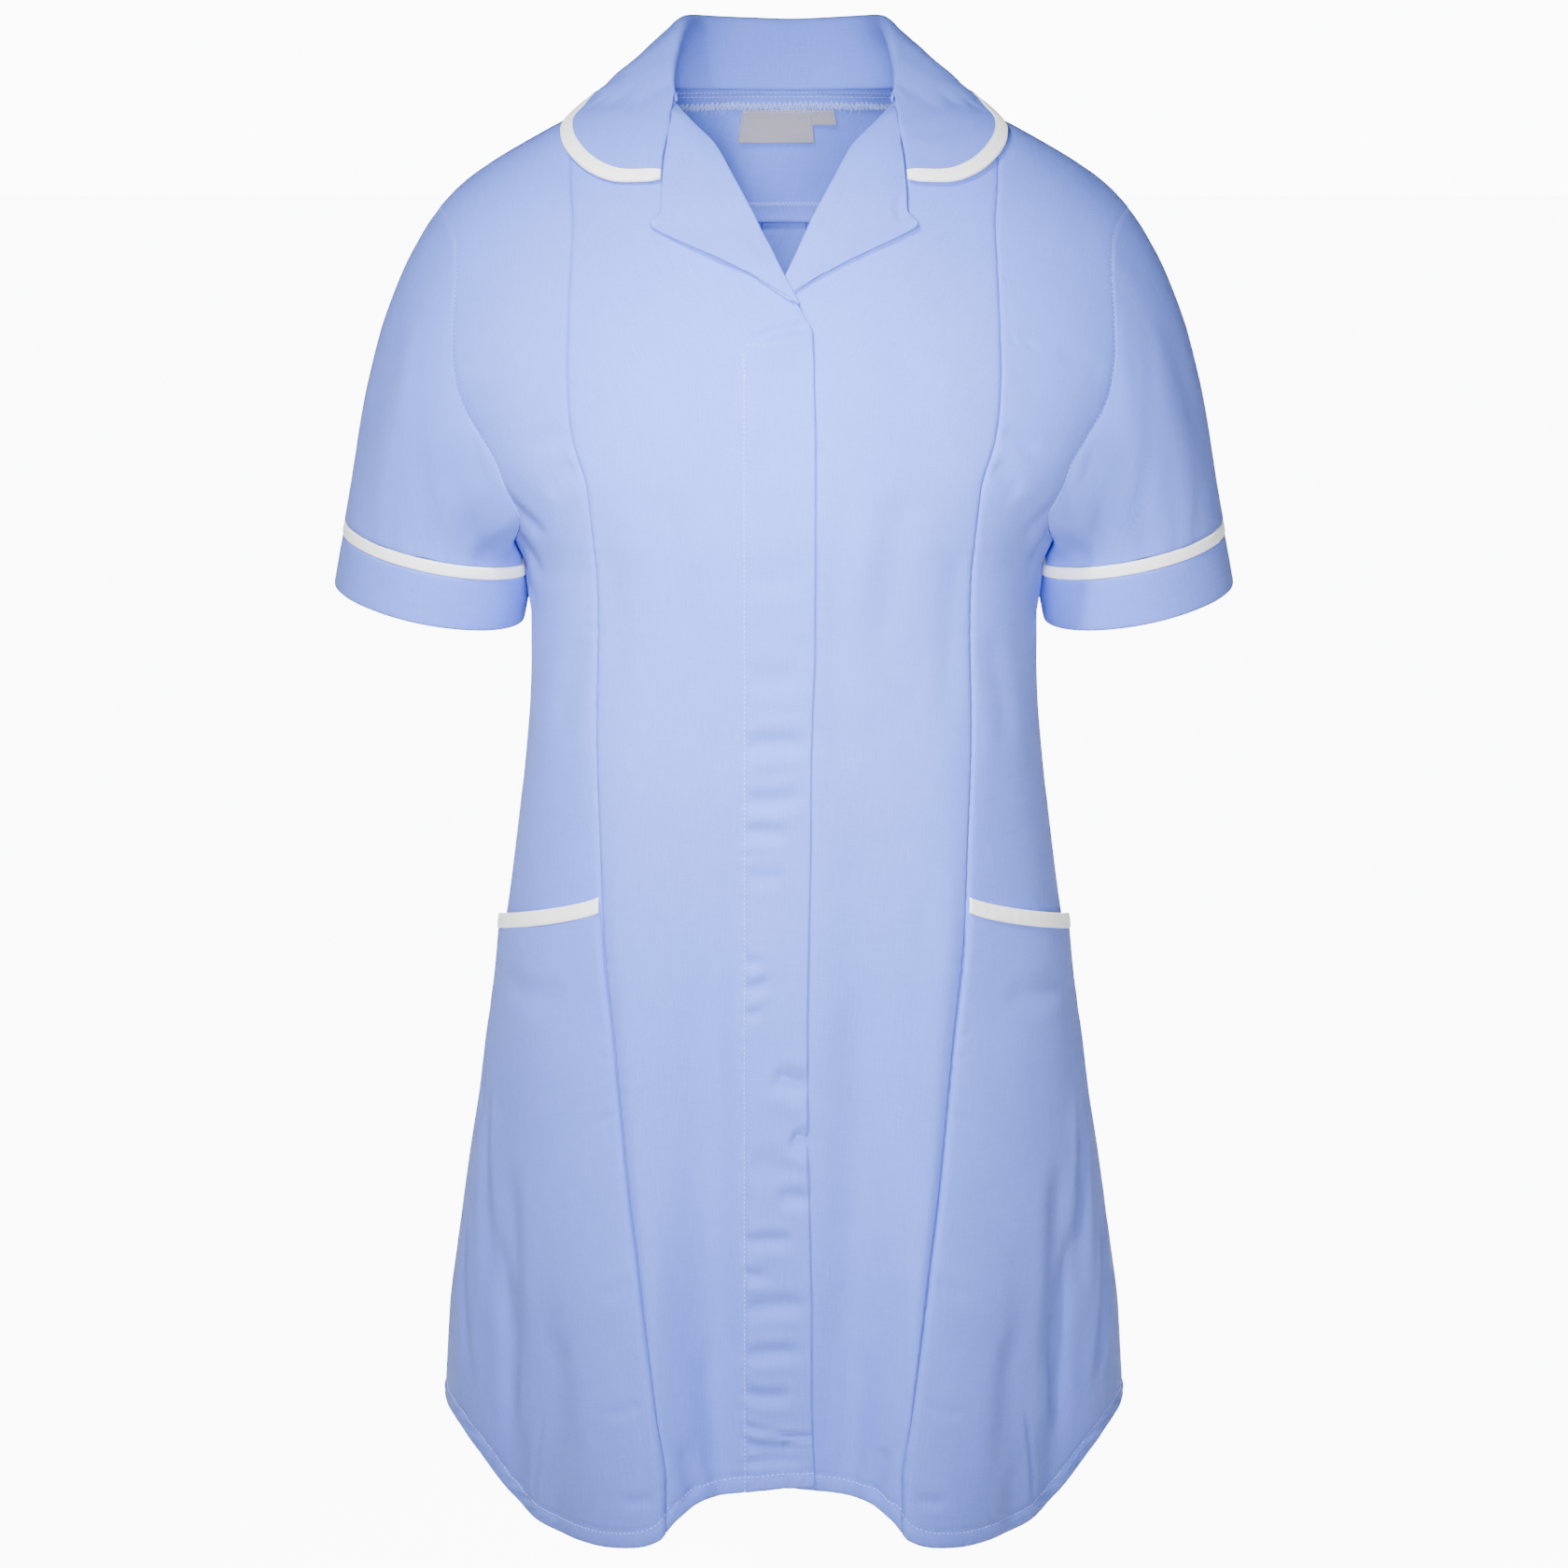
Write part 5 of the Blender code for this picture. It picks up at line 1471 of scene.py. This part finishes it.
def sleeve_stack(rows=64):
    """Rings from the armhole to the cuff's end, with the distance each lies down the sleeve."""
    turns = fine_turns(3.2)[::-1]
    front, back = (np.radians(read(ARMHOLE, column, turns)) for column in (2, 3))
    back = back[-2:0:-1]
    drop = read(ARMHOLE, 1, turns)
    behind = 360 - read(ARMHOLE, 5, turns)[-2:0:-1]
    turn = np.radians(np.concatenate((read(ARMHOLE, 4, turns), behind)))
    start = on_body(np.concatenate((front, back)), np.concatenate((drop, drop[-2:0:-1])))
    frontward = np.cross(CUFF_OUTWARD, CUFF_AXIS)
    frontward = frontward * -np.sign(frontward[1])
    around = np.cos(turn)[:, None] * CUFF_OUTWARD + np.sin(turn)[:, None] * frontward
    bound, cuff = chosen("sleeve_binding"), chosen("cuff")
    end = CUFF_CENTRE + CUFF_RADIUS * around - CUFF_AXIS * SLEEVE_FOOT
    lean = 0.05 + 0.57 * (1 + np.cos(turn)) / 2
    leave = unit(np.stack((lean, -0.15 * np.sin(turn), -np.sqrt(1 - lean ** 2)), -1))
    from_under = np.abs(np.degrees(turn) - 180)
    straight = ease((115 - from_under) / 50)[:, None]
    leave = unit(leave * (1 - straight) + unit(end - start) * straight)
    reach = np.linalg.norm(end - start, axis=-1, keepdims=True)
    start = start + leave * 0.1 + ease((50 - from_under) / 40)[:, None] * (SLEEVE_CLEARANCE, 0, 0)
    rings = [
        bent(t, start, reach * leave, end, reach * CUFF_AXIS)
        for t in np.linspace(0, 1, rows + 1)
    ]
    on_binding = np.linspace(0, bound, BINDING_ROWS + 1)[1:]
    on_cuff = bound + np.linspace(0, cuff, CUFF_ROWS + 1)[1:]
    below = np.concatenate((on_binding, on_cuff))
    lower = end + CUFF_AXIS * below[:, None, None]
    rings = clear_of_side(np.concatenate((np.stack(rings), lower)))
    inward = grid_normal(rings, ring=True)
    inward = inward * np.sign(np.sum(inward * (rings.mean(axis=1, keepdims=True) - rings)))
    for _ in range(6):
        inward = unit(inward + np.roll(inward, 1, axis=1) + np.roll(inward, -1, axis=1))
    return rings, -inward, turn, from_under, rows


def make_sleeves():
    """Both sleeves, with the binding and the cuff below."""
    cloth = chosen("cloth")
    rings, outward, turn, from_under, rows = sleeve_stack()
    across, down = run_lengths(rings)
    degrees = np.degrees(turn)
    signed = np.where(degrees > 180, 360 - degrees, -degrees)
    turn_grid = np.broadcast_to(signed, across.shape)
    free = ease((from_under - 12) / 40)
    to_binding = down[rows] - down
    folds = crease_rise(turn_grid * SLEEVE_MM, down, SLEEVE_CREASES, SLEEVE_MM, 1.0)
    gather = np.sin((across + 4 * uneven(across, 0, 15, 111)) * 2 * math.pi / 6.5)
    gather = 0.3 * gather * np.exp(-np.abs(to_binding) / 5)
    gather = gather * (0.55 + 0.45 * uneven(across, 5, 11, 112))
    rise = folds + cloth_rise(across, down, 113) + gather - 0.45 * hump(down, 1.2)
    rise = rise * free * ease(down / 8 + 0.2) - 0.3 * hump(to_binding, 1.0)
    below = -to_binding
    bound, cuff = chosen("sleeve_binding"), chosen("cuff")
    strip = np.clip(below / bound, 0, 1)
    bound_rise = 0.55 * np.sqrt(np.clip(1 - (np.abs(strip - 0.5) / 0.5) ** 4, 0, 1)) + 0.1
    bound_rise = bound_rise + 0.08 * uneven(across, 0, 12, 114) * free
    cuff_rise = 0.5 * uneven(across, below / 2, 30, 115) + 0.15 * uneven(across, below, 11, 116)
    cuff_rise = free * cuff_rise
    to_end = bound + cuff - below
    cuff_start = rows + BINDING_ROWS
    cuff_rise = cuff_rise - 0.3 * hump(below - bound, 1.0) - 0.2 * hump(to_end, 1.0)
    for side, sign in (("right", -1), ("left", 1)):
        trims = []
        for name, first, last, raise_by, thick in (
            ("sleeve_binding_", rows, cuff_start, bound_rise, 1.4),
            ("sleeve_", 0, rows, rise, cloth),
            ("cuff_", cuff_start, cuff_start + CUFF_ROWS, cuff_rise, cloth),
        ):
            part = slice(first, last + 1)
            normal = outward[part]
            grid = (rings[part] + normal * raise_by[part][..., None]) * (sign, 1, 1)
            normal = normal * (sign, 1, 1)
            if name == "sleeve_":
                tucked = grid[:1] - unit(grid[1:2] - grid[:1]) * 2.2 - normal[:1] * 1.3
                grid, normal = np.concatenate((tucked, grid)), np.concatenate((normal[:1], normal))
            panel = Panel(grid, normal, thick, ring=True)
            panel.normal = normal
            node = name + side
            if name == "sleeve_binding_":
                trims = [trim_piece(node, panel)]
                closed = [
                    np.concatenate((face, face[:, :1]), axis=1)
                    for face in (panel.grid, panel.normal)
                ]
                edges = [(closed[0][row], closed[1][row]) for row in (1, -2)]
                stitches = sew_stitches(node + "_stitches", edges, "white", 1.9, 0.6, 0.15, 0.03)
                trims.append(stitches)
            else:
                cut_piece(node, panel, trims)
                trims = []


# Stage, in metres.
FLOOR_REACH = 30.0
FLOOR_CORNERS = ((-1, -1), (1, -1), (1, 1), (-1, 1))
CAMERA_PLACE = (0, -2.6, 0.02)
CAMERA_TARGET = (0, 0, -0.4)
SENSOR_WIDTH = 36.0      # millimetres
# name, place, target, size, share of the stage's light, spread in degrees
LAMPS = (
    ("key_light", (-0.40, -0.95, 0.75), (0, -0.1, -0.44), 0.12, 0.235, 43),
    ("front_light", (-0.06, -0.85, 0.0), (0, -0.05, -0.17), 0.2, 0.088, 50),
    ("low_light", (0.1, -1.6, -0.30), (0, 0, -0.50), 0.4, 0.27, 54),
    ("left_light", (2.2, -1.0, 0.3), (0, 0, -0.4), 1.2, 0.025, 180),
    ("right_light", (-2.2, -1.0, 0.3), (0, 0, -0.4), 1.2, 0.012, 180),
    ("back_light", (0.4, 2.4, 0.7), (0, 0, -0.35), 1.4, 0.8, 180),
)


def aim(item, place):
    """Turn a lamp or the camera to a place."""
    item.rotation_euler = (Vector(place) - item.location).to_track_quat("-Z", "Y").to_euler()


def make_stage():
    """Pale floor under the hanging tunic, soft light from the front and sides, and the camera."""
    settings = bpy.context.scene.tunic_stage
    corners = [(x * FLOOR_REACH, y * FLOOR_REACH, -settings.floor_drop) for x, y in FLOOR_CORNERS]
    mesh = bpy.data.meshes.new("floor")
    mesh.from_pydata(corners, [], [(0, 1, 2, 3)])
    floor = bpy.data.objects.new("floor", mesh)
    bpy.context.scene.collection.objects.link(floor)
    paint = Finish("floor_paint", 0.9, 0.0, (1, 1, 1))
    paint.fill(paint.shader, {"Base Color": (0.9, 0.9, 0.9, 1)})
    paint.glow((0.98, 0.99, 1.0), settings.backdrop * 0.9)
    mesh.materials.append(paint.owner)
    floor.visible_diffuse = False

    world = bpy.data.worlds.new("studio")
    board = Board(world)
    seen = board.node("ShaderNodeLightPath").outputs["Is Camera Ray"]
    strength = board.node("ShaderNodeMapRange", None, {
        "Value": seen, "To Min": settings.surround, "To Max": settings.backdrop,
    }).outputs[0]
    board.fill(board.tree.nodes["Background"], {0: (0.97, 0.98, 1.0, 1), 1: strength})
    bpy.context.scene.world = world

    for name, place, target, size, power, spread in LAMPS:
        lamp = bpy.data.lights.new(name, "AREA")
        lamp.shape, lamp.size = "DISK", size
        lamp.energy = settings.light * power
        lamp.spread = math.radians(spread)
        item = bpy.data.objects.new(name, lamp)
        item.location = place
        item.visible_camera = False
        aim(item, target)
        bpy.context.scene.collection.objects.link(item)

    lens = bpy.data.cameras.new("camera")
    lens.sensor_width, lens.sensor_fit = SENSOR_WIDTH, "HORIZONTAL"
    lens.lens = settings.lens
    camera = bpy.data.objects.new("camera", lens)
    camera.location = CAMERA_PLACE
    aim(camera, CAMERA_TARGET)
    bpy.context.scene.collection.objects.link(camera)
    bpy.context.scene.camera = camera


class TunicColours(bpy.types.PropertyGroup):
    cotton: bpy.props.FloatVectorProperty(
        name="Cotton", description="Dye of the cloth", subtype="COLOR", size=3, min=0, max=1,
        default=(0.145, 0.232, 0.94))
    binding: bpy.props.FloatVectorProperty(
        name="Binding", description="White of the bindings", subtype="COLOR", size=3, min=0, max=1,
        default=(0.97, 0.97, 0.99))
    tape: bpy.props.FloatVectorProperty(
        name="Tape", description="Grey of the label tape", subtype="COLOR", size=3, min=0, max=1,
        default=(0.28, 0.275, 0.33))
    thread: bpy.props.FloatVectorProperty(
        name="Thread", description="Thread of the blue pieces", subtype="COLOR",
        size=3, min=0, max=1,
        default=(0.36, 0.46, 0.98))


class TunicSizes(bpy.types.PropertyGroup):
    cloth: bpy.props.FloatProperty(
        name="Cloth", description="Thickness of one layer", unit="LENGTH",
        default=0.0009, min=0.0004, max=0.0012)
    cuff: bpy.props.FloatProperty(
        name="Cuff", description="Depth of the cuff below its binding", unit="LENGTH",
        default=0.030)
    sleeve_binding: bpy.props.FloatProperty(
        name="Sleeve binding", description="Width of the sleeve binding", unit="LENGTH",
        default=0.0075)
    pocket_binding: bpy.props.FloatProperty(
        name="Pocket binding", description="Width of the pocket binding", unit="LENGTH",
        default=0.0095)
    collar_binding: bpy.props.FloatProperty(
        name="Collar binding", description="Width of the collar binding", unit="LENGTH",
        default=0.0085)


class TunicStage(bpy.types.PropertyGroup):
    light: bpy.props.FloatProperty(
        name="Light", description="Watts that each lamp takes a share of", default=13.0, min=0)
    surround: bpy.props.FloatProperty(
        name="Surround", description="Strength of the light from all sides", default=0.08, min=0)
    backdrop: bpy.props.FloatProperty(
        name="Backdrop", description="Brightness of what the camera sees around the tunic",
        default=12.0, min=0)
    floor_drop: bpy.props.FloatProperty(
        name="Floor drop", description="Floor below the neck point", unit="LENGTH", default=1.05)
    lens: bpy.props.FloatProperty(
        name="Lens", description="Focal length of the camera", subtype="DISTANCE_CAMERA",
        default=105.49)


class TUNIC_OT_fronts(bpy.types.Operator):
    """Cut and sew both fronts, with the placket"""
    bl_idname = "tunic.fronts"
    bl_label = "Fronts"
    bl_options = {"REGISTER", "UNDO"}

    def execute(self, context):
        make_fronts()
        return {"FINISHED"}


class TUNIC_OT_side_fronts(bpy.types.Operator):
    """Cut and sew both side fronts"""
    bl_idname = "tunic.side_fronts"
    bl_label = "Side fronts"
    bl_options = {"REGISTER", "UNDO"}

    def execute(self, context):
        make_side_fronts()
        return {"FINISHED"}


class TUNIC_OT_pockets(bpy.types.Operator):
    """Cut and bind both pockets"""
    bl_idname = "tunic.pockets"
    bl_label = "Pockets"
    bl_options = {"REGISTER", "UNDO"}

    def execute(self, context):
        make_pockets()
        return {"FINISHED"}


class TUNIC_OT_back(bpy.types.Operator):
    """Cut and sew the back with its pleat, and the yoke"""
    bl_idname = "tunic.back"
    bl_label = "Back and yoke"
    bl_options = {"REGISTER", "UNDO"}

    def execute(self, context):
        make_back()
        return {"FINISHED"}


class TUNIC_OT_neck(bpy.types.Operator):
    """Sew in the neck band, the label and the size tab"""
    bl_idname = "tunic.neck"
    bl_label = "Neck band and label"
    bl_options = {"REGISTER", "UNDO"}

    def execute(self, context):
        make_neck()
        return {"FINISHED"}


class TUNIC_OT_revers(bpy.types.Operator):
    """Fold out both revers"""
    bl_idname = "tunic.revers"
    bl_label = "Revers"
    bl_options = {"REGISTER", "UNDO"}

    def execute(self, context):
        make_revers()
        return {"FINISHED"}


class TUNIC_OT_collar(bpy.types.Operator):
    """Cut, fold and bind the collar"""
    bl_idname = "tunic.collar"
    bl_label = "Collar"
    bl_options = {"REGISTER", "UNDO"}

    def execute(self, context):
        make_collar()
        return {"FINISHED"}


class TUNIC_OT_sleeves(bpy.types.Operator):
    """Set in both sleeves, with bindings and cuffs"""
    bl_idname = "tunic.sleeves"
    bl_label = "Sleeves and cuffs"
    bl_options = {"REGISTER", "UNDO"}

    def execute(self, context):
        make_sleeves()
        return {"FINISHED"}


class TUNIC_OT_stage(bpy.types.Operator):
    """Lay the floor, and place the lights and the camera"""
    bl_idname = "tunic.stage"
    bl_label = "Stage"
    bl_options = {"REGISTER", "UNDO"}

    def execute(self, context):
        make_stage()
        return {"FINISHED"}


OPERATORS = (
    TUNIC_OT_fronts, TUNIC_OT_side_fronts, TUNIC_OT_pockets, TUNIC_OT_back, TUNIC_OT_neck,
    TUNIC_OT_revers, TUNIC_OT_collar, TUNIC_OT_sleeves, TUNIC_OT_stage,
)
SETTINGS = (
    ("tunic_colours", TunicColours), ("tunic_sizes", TunicSizes), ("tunic_stage", TunicStage),
)


class TUNIC_PT_panel(bpy.types.Panel):
    """Sizes, colours and steps of the tunic"""
    bl_label = "Maternity tunic"
    bl_space_type = "VIEW_3D"
    bl_region_type = "UI"
    bl_category = "Tunic"

    def draw(self, context):
        for name, group in SETTINGS:
            box = self.layout.box()
            for key in group.__annotations__:
                box.prop(getattr(context.scene, name), key)
        for step in OPERATORS:
            self.layout.operator(step.bl_idname)


def register():
    for group in (*(group for _, group in SETTINGS), *OPERATORS, TUNIC_PT_panel):
        bpy.utils.register_class(group)
    for name, group in SETTINGS:
        setattr(bpy.types.Scene, name, bpy.props.PointerProperty(type=group))


def unregister():
    for name, _ in SETTINGS:
        delattr(bpy.types.Scene, name)
    for group in (TUNIC_PT_panel, *OPERATORS[::-1], *(group for _, group in SETTINGS[::-1])):
        bpy.utils.unregister_class(group)


def main():
    register()
    for step in OPERATORS:
        call = getattr(bpy.ops.tunic, step.bl_idname.split(".")[1])
        if call() != {"FINISHED"}:
            raise RuntimeError(step.bl_label + " didn't finish")


if __name__ == "__main__":
    main()
